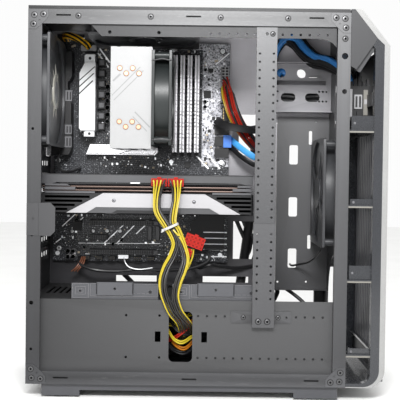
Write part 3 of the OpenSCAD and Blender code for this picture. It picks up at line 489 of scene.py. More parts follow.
BOARD_RINGS = [(26.3, 41.4, 2.6), (55.7, 41.8, 2.6), (75.3, 42.1, 2.6), (93.4, 42.3, 2.6), (8.4, 17.4, 3.4),
               (224.9, 41.9, 2.4), (235.7, 17.6, 2.8), (233.7, 294.6, 3.4), (236.0, 138.0, 3.2), (163.8, 294.6, 3.2),
               (6.4, 294.6, 3.2)]
BOARD_CHIPS = [(213.7, 265.0, 7.3, 5.5, 1.2), (208.1, 229.0, 10.0, 10.5, 1.4), (213.0, 254.0, 3.4, 3.0, 1.0),
               (213.5, 246.5, 3.0, 3.0, 1.0), (220.0, 198.5, 4.2, 5.0, 1.0), (226.0, 198.5, 4.2, 5.0, 1.0),
               (214.0, 181.0, 4.6, 4.6, 1.0), (29.0, 44.0, 12.0, 12.5, 1.2), (60.0, 62.0, 9.0, 7.0, 1.2),
               (150.0, 50.0, 8.0, 8.0, 1.0), (184.0, 14.0, 9.0, 9.0, 1.1), (20.0, 70.0, 8.0, 6.0, 1.0)]

CAD_LOOKS = {
    "chassis_floor": SHEET, "rear_panel": FRAME, "front_wall": SHEET, "chassis_top": FRAME,
    "motherboard_tray": TRAY, "side_frame_left": FRAME, "side_frame_right": FRAME,
    "corner_brackets": FRAME, "frame_screws": SCREW, "top_cover": DIM, "top_flange": DIM,
    "slot_lock_plate": SHEET, "slot_covers": FRAME, "psu_shroud": SHROUD, "drive_caddies": DARK,
    "support_column_upper": FRAME, "support_column_lower": SHEET, "column_bracket": SHEET,
    "cable_cover_plate": SHEET, "drive_bracket": TRAYDARK, "base_feet": DARK, "foot_pads": RUBBER,
    "floor_filter": BLACK, "bezel_frame": BAND, "bezel_trim": TRIM, "bezel_gussets": DIM,
    "front_panel": DARK, "front_io": PLATED, "power_button": TRIM, "reset_button": TRIM,
    "board_pcb": BOARD, "board_standoffs": SILVER, "rear_ports": BLACK, "board_heatsinks": WHITE,
    "board_parts": CHIP, "memory_slots": BLACK, "memory_modules": SILVER, "expansion_slots": BLACK,
    "board_sockets": BLACK, "cooler_base": SILVER, "cooler_pipes": COPPER, "cooler_fins": FINS,
    "cooler_cap": WHITE, "fan_frames": BLACK, "card_board": CARDGREY, "card_heatsink": FINS,
    "card_pipes": COPPER, "card_shroud": BLACK, "card_plugs": RED, "psu_body": BLACK,
    "power_cables": YELLOW_W, "data_cables": BLUE_W,
}
for node_name, node_obj in frame["nodes"].items():
    look = CAD_LOOKS.get(node_name, DARK)
    node_obj.data.materials.clear()
    node_obj.data.materials.append(look)


# ---------------------------------------------------------------- fans
def along_x(o):
    return lambda u, v, w: (o[0] + w, o[1] + v, o[2] - u)


def along_z(o):
    return lambda u, v, w: (o[0] + u, o[1] + v, o[2] + w)


def down_z(o, depth):
    return lambda u, v, w: (o[0] + u, o[1] - v, o[2] + depth - w)


def frame_plate(shape, place, side, bore, w0, w1, corner, sides=64, slot=0):
    """A flange: round-cornered square outside, circle inside."""
    outer, inner = [], []
    for k in range(sides):
        a = 2 * math.pi * k / sides
        c, s = math.cos(a), math.sin(a)
        h = side / 2
        reach = h / max(abs(c), abs(s))
        x, y = c * reach, s * reach
        limit = h - corner
        if abs(x) > limit and abs(y) > limit:
            dx, dy = abs(x) - limit, abs(y) - limit
            d = math.hypot(dx, dy)
            if d > corner:
                x = math.copysign(limit + dx * corner / d, x)
                y = math.copysign(limit + dy * corner / d, y)
        outer.append((x, y))
        inner.append((c * bore / 2, s * bore / 2))
    v = [place(x, y, w) for w in (w0, w1) for ring in (outer, inner) for x, y in ring]
    n = sides
    f = []
    for k in range(n):
        j = (k + 1) % n
        f.append((k, j, n + j, n + k))
        f.append((2 * n + k, 3 * n + k, 3 * n + j, 2 * n + j))
        f.append((k, 2 * n + k, 2 * n + j, j))
        f.append((n + k, n + j, 3 * n + j, 3 * n + k))
    shape.add(v, f, slot)


def fan_frame(name, place, side, depth, bore, hub, mat):
    """Two flanges, the round duct between them, corner posts, hub and struts."""
    s = Shape()
    lip = 3.6
    frame_plate(s, place, side, bore, 0, lip, 5)
    frame_plate(s, place, side, bore, depth - lip, depth, 5)
    r = bore / 2
    s.lathe([(r, lip), (r + 1.8, lip), (r + 1.8, depth - lip), (r, depth - lip)], place, 64)
    c = side / 2 - 7.8
    for i in (-1, 1):
        for j in (-1, 1):
            s.lathe([(4.4, lip), (4.4, depth - lip)],
                    lambda u, v, w, i=i, j=j: place(u + i * c, v + j * c, w), 20)
            s.lathe([(0.01, depth), (3.2, depth), (3.2, depth + 0.0), (2.6, depth + 0.02), (0.01, depth + 0.02)],
                    lambda u, v, w, i=i, j=j: place(u + i * c, v + j * c, w - 0.6), 16, 1)
    s.lathe([(0.01, 0.2), (hub / 2 - 2, 0.2), (hub / 2 - 1, 1.0), (hub / 2 - 1, 2.6), (0.01, 2.6)], place, 40)
    s.lathe([(0.01, 2.6), (3.9, 2.6), (3.9, depth - 7), (0.01, depth - 7)], place, 24)
    for k in range(4):
        a = math.radians(30 + 90 * k)
        ca, sa = math.cos(a), math.sin(a)
        pts = []
        for w in (0.4, 2.4):
            for d, e in ((hub / 2 - 3, -2.2), (r + 1, -3.4), (r + 1, 3.4), (hub / 2 - 3, 2.2)):
                pts.append(place(d * ca - e * sa, d * sa + e * ca, w))
        s.add(pts, [(3, 2, 1, 0), (4, 5, 6, 7), (0, 1, 5, 4), (1, 2, 6, 5), (2, 3, 7, 6), (3, 0, 4, 7)])
    return build(name, s, [mat, SCREW], replaces=["fan_frames"], bevel=0.5)


def fan_rotor(name, place, bore, hub, depth, blades, body, node, mat, base=3.0, lean=1.0):
    """A hub cup and swept, cambered blades."""
    s = Shape()
    r0, r1 = hub / 2, bore / 2 - 1.8
    top = depth - 1.5
    s.lathe([(4.4, base), (r0 - 0.6, base), (r0, base + 0.6), (r0, top - 2.2), (r0 - 0.7, top - 0.7),
             (r0 - 2.4, top), (0.01, top)], place, 48)
    s.lathe([(0.01, top), (r0 * 0.62, top), (r0 * 0.60, top + 0.25), (0.01, top + 0.25)], place, 40, 1)
    rows, cols = 9, 8
    chord = 2 * math.pi / blades
    mid = (base + top) / 2
    for b in range(blades):
        top_side, low_side = [], []
        for i in range(rows + 1):
            q = i / rows
            r = r0 - 0.6 + (r1 - r0 + 0.6) * q
            wide = chord * (0.72 + 0.30 * q - 0.12 * q * q)
            sweep = lean * 0.42 * q * q
            rise = (top - base - 2.5) * (0.96 - 0.34 * q)
            for j in range(cols + 1):
                t = j / cols
                a = chord * b + sweep + wide * (t - 0.5)
                w = mid + rise * (t - 0.5) - 1.6 * math.sin(math.pi * t) * (0.5 + q)
                top_side.append(place(r * math.cos(a), r * math.sin(a), w + 0.6))
                low_side.append(place(r * math.cos(a), r * math.sin(a), w - 0.6))
        n = len(top_side)
        f = []
        for i in range(rows):
            for j in range(cols):
                k = i * (cols + 1) + j
                f.append((k, k + 1, k + cols + 2, k + cols + 1))
                f.append((n + k, n + k + cols + 1, n + k + cols + 2, n + k + 1))
        rim = [i for i in range(cols + 1)] + [i * (cols + 1) + cols for i in range(1, rows + 1)]
        rim += [rows * (cols + 1) + j for j in range(cols - 1, -1, -1)]
        rim += [i * (cols + 1) for i in range(rows - 1, 0, -1)]
        for k in range(len(rim)):
            p, q = rim[k], rim[(k + 1) % len(rim)]
            f.append((q, p, n + p, n + q))
        s.add(top_side + low_side, f)
    return build(name, s, [mat, GREYP], body=body, replaces=[node])


def fans():
    joints = {j["child"]: j["pos_m"] for j in frame["record"]["behaviour"]["joints"]}

    def centre(body):
        return [c / MM for c in joints[body]]

    case_side, case_depth, case_bore, case_hub = 140, 25, 133, 46
    x, y, z = centre("rear_fan")
    rear_lo = node_box("fan_frames")[0][0]
    place = along_x((rear_lo, y, z))
    fan_frame("rear_fan_frame", place, case_side, case_depth, case_bore, case_hub, FANGREY)
    fan_rotor("rear_fan_blades", place, case_bore, case_hub, case_depth, 9, "rear_fan", "rear_fan_rotor", BLADE_PAINTED_LIGHT)
    x, y, z = centre("top_fan")
    ceiling = node_box("chassis_top")[0][2]
    place = down_z((x, y, ceiling - case_depth), case_depth)
    fan_frame("top_fan_frame", place, case_side, case_depth, case_bore, case_hub, FANGREY)
    fan_rotor("top_fan_blades", place, case_bore, case_hub, case_depth, 9, "top_fan", "top_fan_rotor", BLADE)
    x, y, z = centre("front_fan")
    wall = node_box("front_wall")[0][0]
    place = along_x((wall - 0.1 - case_depth, y, z))
    fan_frame("front_fan_frame", place, case_side, case_depth, case_bore, case_hub, FANGREY)
    fan_rotor("front_fan_blades", place, case_bore, case_hub, case_depth, 9, "front_fan", "front_fan_rotor", BLADE)
    x, y, z = centre("cooler_fan")
    place = along_x((node_box("cooler_cap")[1][0] + 0.2, y, z))
    fan_frame("cooler_fan_frame", place, 120, case_depth, 114, 42, GLOSS)
    fan_rotor("cooler_fan_blades", place, 114, 42, case_depth, 9, "cooler_fan", "cooler_fan_rotor", GLOSS)
    for tag in "abc":
        x, y, z = centre("card_fan_" + tag)
        low = node_box("card_rotor_" + tag)[0][2]
        place = down_z((x, y, low), 8.2)
        fan_rotor("card_fan_blades_" + tag, place, 86.6, 30, 9.7, 11, "card_fan_" + tag, "card_rotor_" + tag,
                  DARK, base=0.2)
    x, y, z = centre("psu_fan")
    high = node_box("psu_rotor")[1][2]
    place = down_z((x, y, high - 17), 20)
    fan_rotor("psu_fan_blades", place, 121, 40, 20, 9, "psu_fan", "psu_rotor", BLACK)


fans()


# ---------------------------------------------------------------- helpers for small parts
def facing(p, side):
    """Local (u, v, out) to the row, for a piece whose outward side is a main direction."""
    x, y, z = p
    return {
        "-y": lambda u, v, w: (x + u, y - w, z + v),
        "+y": lambda u, v, w: (x - u, y + w, z + v),
        "-x": lambda u, v, w: (x - w, y - u, z + v),
        "+x": lambda u, v, w: (x + w, y + u, z + v),
    }[side]


def screw(shape, p, side, r=2.7, h=0.6, ring=0, dark=1):
    """A pan head with a bright ring and a dark cross recess, on a dark seat: the dark is painted shade in the recess
    and under the head.
    """
    place = facing(p, side)
    shape.lathe([(r * 1.36, -0.2), (r * 1.36, 0.03), (r, 0.05)], place, 24, dark)
    shape.lathe([(r, 0.0), (r, h * 0.4), (r * 0.86, h * 0.85), (r * 0.62, h), (r * 0.46, h)], place, 24, ring)
    shape.lathe([(r * 0.46, h), (r * 0.40, h * 0.3), (0.01, h * 0.3)], place, 12, dark)
    for w, t in ((r * 0.42, r * 0.09), (r * 0.09, r * 0.42)):
        v = [place(u, k, h * e) for e in (0.2, 0.5) for u, k in ((-w, -t), (w, -t), (w, t), (-w, t))]
        shape.add(v, [(3, 2, 1, 0), (4, 5, 6, 7), (0, 1, 5, 4), (1, 2, 6, 5), (2, 3, 7, 6), (3, 0, 4, 7)], ring)


def strip(shape, p, q, width, y, depth=0.3, slot=0):
    """A raised line on a face at y, from p to q in x and z."""
    (x0, z0), (x1, z1) = p, q
    d = math.hypot(x1 - x0, z1 - z0)
    nx, nz = -(z1 - z0) / d * width / 2, (x1 - x0) / d * width / 2
    shape.prism([(x0 + nx, z0 + nz), (x0 - nx, z0 - nz), (x1 - nx, z1 - nz), (x1 + nx, z1 + nz)],
                y - depth, y, "y", slot)


def outline_box(shape, x0, z0, x1, z1, width, y, depth, slot=0):
    """Four raised lines round a rectangle."""
    strip(shape, (x0, z0), (x1, z0), width, y, depth, slot)
    strip(shape, (x0, z1), (x1, z1), width, y, depth, slot)
    strip(shape, (x0, z0), (x0, z1), width, y, depth, slot)
    strip(shape, (x1, z0), (x1, z1), width, y, depth, slot)


def bundle(name, base, wires, node, radius=1.1, wide=4.6, deep=3.0, twist=0.8, starts=None, spread=None):
    """Wires that run side by side round one route; starts are their own first points at the plug."""
    core = smooth_path(base, 5)
    n = len(core)
    by_mat = {}
    for i, mat in enumerate(wires):
        phase = 2 * math.pi * (i + 0.5) / len(wires)
        pts = []
        for k, c in enumerate(core):
            q = k / (n - 1)
            t = (core[min(k + 1, n - 1)] - core[max(k - 1, 0)]).normalized()
            side = t.cross(Vector((0, 1, 0)))
            if side.length < 0.2:
                side = Vector((1, 0, 0))
            side.normalize()
            out = t.cross(side).normalized()
            a = phase + 2 * math.pi * twist * q
            grow = spread(q) if spread else 1.0
            pts.append(c + side * (wide * grow * math.cos(a)) + out * (deep * math.sin(a)))
        if starts:
            lead = 6
            for k in range(lead):
                w = (k / lead) ** 1.2
                pts[k] = Vector(starts[i]) * (1 - w) + pts[k] * w
                if k < 2:
                    pts[k] = Vector(starts[i]) + Vector((0, -2.5 * k, 0))
        by_mat.setdefault(mat.name, (mat, Shape()))[1].tube(pts, radius, 8)
    for tag, (mat, shape) in by_mat.items():
        build(name + "_" + tag, shape, mat, replaces=[node])


# ---------------------------------------------------------------- case details
def case_screws():
    s = Shape()
    lo, hi = node_box("corner_brackets")
    outer = 0.75
    for side, y in (("-y", lo[1]), ("+y", hi[1])):
        for x, sx in ((lo[0], 1), (hi[0], -1)):
            for z, sz in ((lo[2], 1), (hi[2], -1)):
                for dx, dz in ((7, 7), (18, 6), (6, 18)):
                    screw(s, (x + dx * sx, y, z + dz * sz), side, 3.0, 0.18)
        flat = y + (outer if side == "-y" else -outer)
        rail = hi[2] - 7.4
        for x in (-158, -70, 15, 97):
            screw(s, (x, flat, rail), side, 2.9, 0.7)
        screw(s, (hi[0] - 6.5, flat, 444), side, 2.9, 0.7)
    x = node_box("rear_panel")[0][0]
    fan = 62.25
    for i in (-1, 1):
        for j in (-1, 1):
            screw(s, (x, -35.5 + i * fan, 380 + j * fan), "-x", 3.7, 0.9)
    for y, z in ((-77.5, 22.5), (67.5, 22.5), (-77.5, 103.5), (67.5, 103.5)):
        screw(s, (x, y, z), "-x", 3.4, 0.9)
    build("case_screws", s, [SCREWHEAD, BLACK], replaces=["frame_screws"])
    t = Shape()
    col = node_box("support_column_lower")[0][1]
    for x in (66, 77):
        screw(t, (x, col, 97), "-y", 3.0, 0.9)
    top = node_box("support_column_upper")[0][1]
    screw(t, (79, top, 449), "-y", 2.6, 0.8)
    wall = node_box("psu_shroud")[0][1]
    for x in (48, 91):
        screw(t, (x, wall - 1.2, 101), "-y", 2.4, 0.6)
    build("column_screws", t, [SCREWHEAD, BLACK])


def caddy_marks():
    """Moulded frames and ribs on the two drive caddies."""
    s = Shape()
    lo, hi = node_box("drive_caddies")
    wide = 107.5
    face = -95.0
    for x0 in (lo[0], hi[0] - wide):
        x1 = x0 + wide
        z0, z1 = lo[2] + 1, lo[2] + 19
        outline_box(s, x0 + 1, z0, x0 + 21, z1, 0.9, face, 0.8)
        outline_box(s, x0 + 5, z0 + 4.5, x0 + 17.5, z1 - 4, 0.8, face, 0.8)
        outline_box(s, x0 + 9, z0 + 7, x0 + 14.5, z1 - 7, 0.8, face, 0.8)
        outline_box(s, x0 + 23.5, z0 + 2.5, x0 + 62, z1, 0.7, face, 0.7)
        outline_box(s, x0 + 63.5, z0 + 2.5, x1 - 1, z1, 0.7, face, 0.7)
        for k in range(4):
            strip(s, (x0 + 75 + 6 * k, z0 + 6), (x0 + 79 + 6 * k, z0 + 6), 0.7, face, 0.6)
        for x in (x0 + 31.5, x1 - 31.5):
            strip(s, (x, lo[2] + 6), (x, lo[2] + 20.5), 1.0, face - 2.2, 0.2)
    build("caddy_marks", s, GREYP, bevel=0.15)


def front_ports():
    """The front port block between the frame and the bezel, with its plugs and light lips."""
    lo, hi = node_box("front_io")
    near, far, x0, x1 = -64.0, 64.0, 178.0, hi[0]
    s = Shape()
    s.box((x0, near + 2, lo[2] + 1), (x1 - 4, far, hi[2] - 1))
    frame_window(s, x1 - 4, x1, near, far, lo[2], hi[2])
    for y in (-97, 64):
        s.box((202, y, 364), (205, y + 33, 380))
    for y, r in ((-82, 2.45), (82, 1.95)):
        s.lathe([(r, 0), (r, 8.9), (0.01, 8.9)], facing((205, y, 372), "+x"), 24, 1)
    s.box((180.5, near + 0.4, lo[2] - 0.0), (183.5, near + 2, hi[2] - 5), 1)
    s.box((186, near + 0.2, 362), (196, near + 2, 380), 1)
    s.box((187.5, near, 364), (190, near + 0.3, 378), 3)
    s.box((192, near, 364), (194.5, near + 0.3, 378), 3)
    s.box((197.5, near, 354), (203, near + 2, 386), 2)
    s.box((198.5, near - 0.2, 368), (202, near, 374), 1)
    s.box((189, near - 3, 352), (195.5, near + 2, 359))
    for k in range(5):
        s.box((181 + 5.2 * k, near + 4, hi[2] - 2), (184.6 + 5.2 * k, near + 12, hi[2] + 5 + 3 * (k % 3)))
    build("front_port_block", s, [BLACK, SOCKETGREY, CREAM, CHIP], replaces=["front_io"], bevel=0.3)
    p = Shape()
    for y0 in (-50, -32):
        p.box((x1 - 3, y0 + 1.5, 364.2), (x1 - 0.6, y0 + 11.5, 366.2), 1)
    build("front_port_tongues", p, [PLATED, SKYDARK])
    top = node_box("front_panel")[1][2]
    lip = Shape()
    lip.box((202.2, -99, top - 2), (204.4, 99, top + 13))
    for y in (-103.6, 102.6):
        lip.prism([(180.6, 406.6), (186.5, 403.8), (203.6, 431), (203.6, 440.2)], y, y + 1.0, "y", 1)
    build("front_panel_lip", lip, [BLACK, FANGREY], bevel=0.3)
    # black strips behind the shroud's rows of holes: painted shade, so the holes look dark
    back = Shape()
    wall = node_box("psu_shroud")[0][1] + 1.4
    for z in (49.7, 101.7):
        back.box((-10.5, wall, z - 3), (150, wall + 0.5, z + 3))
    build("shroud_hole_painted_shade", back, BLACK)
    t = Shape()
    for s_y in (-1, 1):
        for z in (54, 146, 238, 330):
            lo_y, hi_y = sorted((s_y * 107.0, s_y * 107.4))
            t.box((174.2, lo_y, z + 0.3), (204.2, hi_y, z + 2.2))
        for z, h in ((54, 8), (146, 18), (238, 8), (330, 18)):
            place = facing((181, s_y * 103.6, z + 3 + h / 2), "-y" if s_y < 0 else "+y")
            t.lathe([(1.5, 0), (1.5, 0.4), (0.01, 0.5)], place, 16, 1)
    build("bezel_lips", t, [CREAM, GREYP])


def frame_window(shape, x0, x1, y0, y1, z0, z1):
    """The port block's front face with openings for the ports."""
    cuts = [(-50, -37, 362, 368), (-32, -19, 362, 368), (20, 29, 362, 365.5)]
    shape.box((x0, y0, z0), (x1, y1, 362))
    shape.box((x0, y0, 368), (x1, y1, z1))
    edge = y0
    for a, b, _, _ in cuts:
        shape.box((x0, edge, 362), (x1, a, 368))
        edge = b
    shape.box((x0, edge, 362), (x1, y1, 368))
    for y in (-10, 4):
        place = facing((x1, y, 366), "+x")
        shape.lathe([(3.2, -0.2), (3.2, 0.25), (2.2, 0.3)], place, 24, 1)
        shape.lathe([(2.1, 0.31), (0.01, 0.31)], place, 24, 3)


# ---------------------------------------------------------------- processor cooler
def cooler():
    lo, hi = node_box("cooler_fins")
    s = Shape()
    count, thin = 46, 0.4
    pitch = (hi[1] - lo[1] - thin) / (count - 1)
    for k in range(count):
        y = lo[1] + k * pitch
        cut = 5.0
        out = [(lo[0], lo[2]), (lo[0] + 16, lo[2]), (lo[0] + 18, lo[2] + 2), (hi[0] - 18, lo[2] + 2),
               (hi[0] - 16, lo[2]), (hi[0], lo[2]), (hi[0], hi[2]), (hi[0] - 16, hi[2]),
               (hi[0] - 18, hi[2] - 2), (lo[0] + 18, hi[2] - 2), (lo[0] + 16, hi[2]), (lo[0], hi[2])]
        s.prism(out, y, y + thin, "y")
        for x in (lo[0] + 10, lo[0] + 24, hi[0] - 24, hi[0] - 10):
            for z in (lo[2], hi[2] - thin):
                s.box((x - 3, y, z), (x + 3, y + pitch * 0.92, z + thin))
        for x in (lo[0], hi[0] - thin):
            for z in (lo[2] + 18, hi[2] - 24):
                s.box((x, y, z), (x + thin, y + pitch * 0.92, z + cut))
    build("cooler_fin_stack", s, FINS, replaces=["cooler_fins"])

    lo, hi = node_box("cooler_cap")
    c = Shape()
    edge = [(lo[0], lo[2]), (hi[0], lo[2]), (hi[0], hi[2]), (hi[0] - 3, hi[2]), (hi[0] - 5, hi[2] - 2),
            (hi[0] - 7, hi[2]), (lo[0] + 38, hi[2]), (lo[0] + 36, hi[2] - 2.2), (lo[0] + 34, hi[2]),
            (lo[0] + 12, hi[2]), (lo[0] + 10, hi[2] - 2.2), (lo[0] + 8, hi[2]), (lo[0], hi[2])]
    c.prism(edge, lo[1], hi[1], "y")
    c.box((lo[0], hi[1], lo[2]), (lo[0] + 0.5, hi[1] + 3, hi[2]))
    c.box((hi[0] - 0.5, hi[1], lo[2]), (hi[0], hi[1] + 3, hi[2]))
    build("cooler_cap_plate", c, CAPWHITE, replaces=["cooler_cap"], bevel=0.35)

    g = Shape()
    y = lo[1]
    w, h = hi[0] - lo[0], hi[2] - lo[2]

    def at(u, v):
        return (lo[0] + u * w, lo[2] + v * h)

    for p, q, wd in (((0.04, 0.52), (0.72, 0.80), 1.1), ((0.08, 0.47), (0.80, 0.765), 1.1),
                     ((0.06, 0.66), (0.24, 0.73), 2.2), ((0.60, 0.36), (0.97, 0.21), 1.6),
                     ((0.55, 0.315), (0.90, 0.17), 1.0)):
        strip(g, at(*p), at(*q), wd, y, 0.16)
    build("cooler_cap_lines", g, CAPLINE)

    rings = Shape()
    for px, pz in pipe_ends():
        place = facing((px, y, pz), "-y")
        rings.lathe([(3.5, -0.5), (3.5, 0.9), (3.2, 1.15), (2.4, 1.15), (2.2, 0.8), (0.01, 0.55)], place, 24)
    build("cooler_pipe_tips", rings, TIP)

    clips = Shape()
    flo, fhi = hi[0], hi[0] + 25.2
    top_fin = node_box("cooler_fins")[1][2]
    front = -35.5 - 60.4
    for z in (top_fin - 17, lo[2] + 11):
        clips.tube(smooth_path([(flo - 1, front + 14, z), (flo + 1, front + 2, z), (flo + 4, front - 0.9, z),
                                (flo + 13, front - 1.6, z + 1.5), (fhi - 3, front - 0.9, z), (fhi + 0.6, front + 2, z),
                                (fhi + 0.8, front + 12, z - 6)], 6), 0.75, 8)
    build("cooler_clips", clips, SCREWHEAD)


def pipe_ends():
    """Where the cooler's pipes come through its front plate: (x, z)."""
    lo, hi = node_box("cooler_pipes")
    xs = [lo[0] + 3 + (hi[0] - lo[0] - 6) * k / 3 for k in range(4)]
    return [(x, z) for k, x in enumerate(xs) for z in PIPE_Z[k % 2]]


# ---------------------------------------------------------------- board
def on_board(u, v):
    """Board coordinates, from its rear bottom corner, to x and z."""
    lo, _ = node_box("board_pcb")
    return (lo[0] + u, lo[2] + v)


def board():
    lo, hi = node_box("board_pcb")
    y = lo[1]
    lines = Shape()
    for p, q, w in BOARD_LINES:
        strip(lines, on_board(*p), on_board(*q), w * 1.25, y, 0.12)
    build("board_lines", lines, PRINT)

    rings = Shape()
    for u, v, r in BOARD_RINGS:
        x, z = on_board(u, v)
        screw(rings, (x, y - 0.4, z), "-y", r, 0.9)
    build("board_screws", rings, [SILVER, BLACK])

    # the lit, printed corner right of the memory
    plate = Shape()
    x0, z0 = on_board(206, 134)
    x1, z1 = on_board(243.6, 304.6)
    plate.box((x0, y - 0.1, z0), (x1, y, z1))
    x0, z0 = on_board(96, 296)
    x1, z1 = on_board(206, 304.6)
    plate.box((x0, y - 0.1, z0), (x1, y, z1))
    build("board_bright_face", plate, BRIGHT)

    small = Shape()
    fields = ((208, 136, 242, 302, 190), (98, 290, 206, 304, 60), (120, 4, 242, 75, 150), (2, 4, 118, 75, 110),
              (64, 130, 164, 146, 60), (8, 290, 95, 303, 40), (46, 160, 76, 290, 60))
    for u0, v0, u1, v1, count in fields:
        for _ in range(count):
            u, v = rng.uniform(u0, u1), rng.uniform(v0, v1)
            w, h = rng.choice(((1.0, 0.6), (0.6, 1.0), (1.6, 0.9), (0.9, 1.6), (2.2, 1.4), (3.0, 2.6), (2.0, 3.2)))
            x, z = on_board(u, v)
            t = rng.uniform(0.4, 1.4)
            small.box((x - w / 2, y - t, z - h / 2), (x + w / 2, y, z + h / 2), rng.choice((0, 0, 1, 1, 2)))
    build("board_small_parts", small, [CHIP, SILVER, TAN], smooth=False)

    chips = Shape()
    for u, v, w, h, t in BOARD_CHIPS:
        x, z = on_board(u, v)
        chips.box((x, y - t, z), (x + w, y, z + h))
        n = max(2, int(h / 1.3))
        for k in range(n):
            zz = z + (k + 0.5) * h / n
            chips.box((x - 0.9, y - 0.35, zz - 0.22), (x, y - 0.1, zz + 0.22), 1)
            chips.box((x + w, y - 0.35, zz - 0.22), (x + w + 0.9, y - 0.1, zz + 0.22), 1)
    build("board_chips", chips, [CHIP, SILVER], bevel=0.15)

    # coils by the processor, capacitors and the sound section
    coils = Shape()
    lo_p, hi_p = node_box("board_parts")
    for k in range(7):
        z = 336 + 14.7 * k
        coils.box((-150.5, 58, z), (-140.5, y, z + 10))
        coils.box((-149, 57.4, z + 1.5), (-142, 58, z + 8.5), 1)
    for k in range(9):
        x = -170 + 18 * k
        coils.box((x, 59, 156), (x + 10, y, 161))
        for i in range(5):
            for zz in (157.2, 159.6):
                coils.box((x + 0.8 + i * 2, 57.2, zz - 0.3), (x + 1.4 + i * 2, 59, zz + 0.3), 2)
    coils.box((-30, 66, 285), (-22, y, 293))
    coils.box((-185, 65, 196), (-172, y, 209))
    build("board_coils", coils, [CHIP, GREYP, BRASS], replaces=["board_parts"], bevel=0.4)
    caps = Shape()
    spots = [(-137.0, 348 + 9.5 * k, 3.2, 56) for k in range(6)]
    spots += [(x, z, 3.1, 57) for x in (-190, -183) for z in (160, 167.5)]
    spots += [(on_board(210, v)[0], on_board(210, v)[1], 2.4, 61) for v in (268, 224, 217)]
    spots += [(on_board(u, v)[0], on_board(u, v)[1], 2.2, 61) for u, v in ((34, 58), (44, 20), (84, 24), (96, 30))]
    for x, z, r, front in spots:
        place = facing((x, y, z), "-y")
        h = y - front
        caps.lathe([(r * 1.08, 0), (r * 1.08, 0.9), (r, 1.2), (r * 0.93, 1.6), (r, 2.0), (r, h - 0.5),
                    (r * 0.9, h)], place, 20)
        caps.lathe([(r * 0.9, h), (r * 0.86, h - 0.12), (0.01, h - 0.12)], place, 20, 1)
    build("board_capacitors", caps, [CAN, SILVER])


def heatsinks():
    """White heatsink by the rear ports, the polished one under the cooler and the dark one low down."""
    face, back = 33.0, node_box("board_pcb")[0][1]
    w = Shape()
    body = [(-173.5, 337), (-171, 334), (-151.5, 334), (-151.5, 427), (-166, 427), (-173.5, 412)]
    w.prism(body, face, face + 24, "y")
    w.box((-170, face + 24, 336), (-153, back, 425))
    for z0, z1, zs in ((326, 334, 330), (427, 438, 432.5)):
        w.prism([(-167, z0), (-152.5, z0), (-152.5, z1), (-165, z1), (-167, z1 - 2)], face + 3, face + 8, "y")
        w.box((-165, face + 8, z0 + 0.5), (-154, back, z1 - 0.5))
    for k in range(6):
        x = -171.2 + 3.5 * k
        w.box((x, face + 2, 333), (x + 1.0, face + 22, 334.2))
    build("white_heatsink", w, WHITE, replaces=["board_heatsinks"], bevel=0.6)
    # black strips, discs and blocks: painted shade in the heatsink's grooves, screw holes and side slots
    lines = Shape()
    for dz, wd in ((0, 1.7), (9.5, 1.5), (18, 1.3)):
        strip(lines, (-175.5 + 2, 384 + dz), (-155 + dz * 0.14, 402 + dz * 1.05), wd, face, 0.15)
    for z in (330, 432.5):
        place = facing((-159.5, face + 3, z), "-y")
        lines.lathe([(2.0, 0.0), (2.0, 0.15), (1.2, 0.2), (0.01, 0.2)], place, 20)
    for z in (343, 356):
        lines.box((-173.9, face + 3, z), (-170.5, face + 14, z + 5))
    build("white_heatsink_groove_shade", lines, BLACK)

    m = Shape()
    m.prism([(-166, 301.5), (-70, 301.5), (-66, 306), (-66, 312), (-72, 316.7), (-160, 316.7)], 50.5, back, "y")
    m.prism([(-163.5, 303), (-72, 303), (-69, 306), (-69, 311.5), (-73.5, 315.2), (-158.6, 315.2)], 48.2, 50.5, "y")
    build("polished_heatsink", m, POLISH, replaces=["board_heatsinks"], bevel=0.7)
    m = Shape()
    strip(m, (-166, 316.8), (-72, 316.9), 1.0, 50.0, 0.5)
    strip(m, (-120, 303.3), (-84, 314.5), 0.8, 48.2, 0.2)
    strip(m, (-150, 303.3), (-146, 315), 0.6, 48.2, 0.2)
    build("polished_heatsink_lines", m, BLACK)

    d = Shape()
    d.prism([(-20, 171), (27, 171), (27, 232), (4, 232), (-20, 208)], 61, back, "y")
    for k, x1 in enumerate((26.5, 26.5, 26.5, 26.5, 26.5)):
        z = 162.5 + 8.2 * k
        d.box((-2 + 1.5 * (k % 2), 60.6, max(z, 171.5)), (x1, 61, max(z, 171.5) + 1.3), 1)
    build("dark_heatsink", d, [CHIP, PRINT], replaces=["board_heatsinks"], bevel=0.3)
    ovals = Shape()
    for x in (-76.8, -66):
        ovals.prism([(x + u, 193.5 + v) for u, v in rounded(-3.2, -10.5, 3.2, 10.5, 3.0)], 63.5, back, "y")
    build("grey_ovals", ovals, CARDGREY, bevel=0.8)


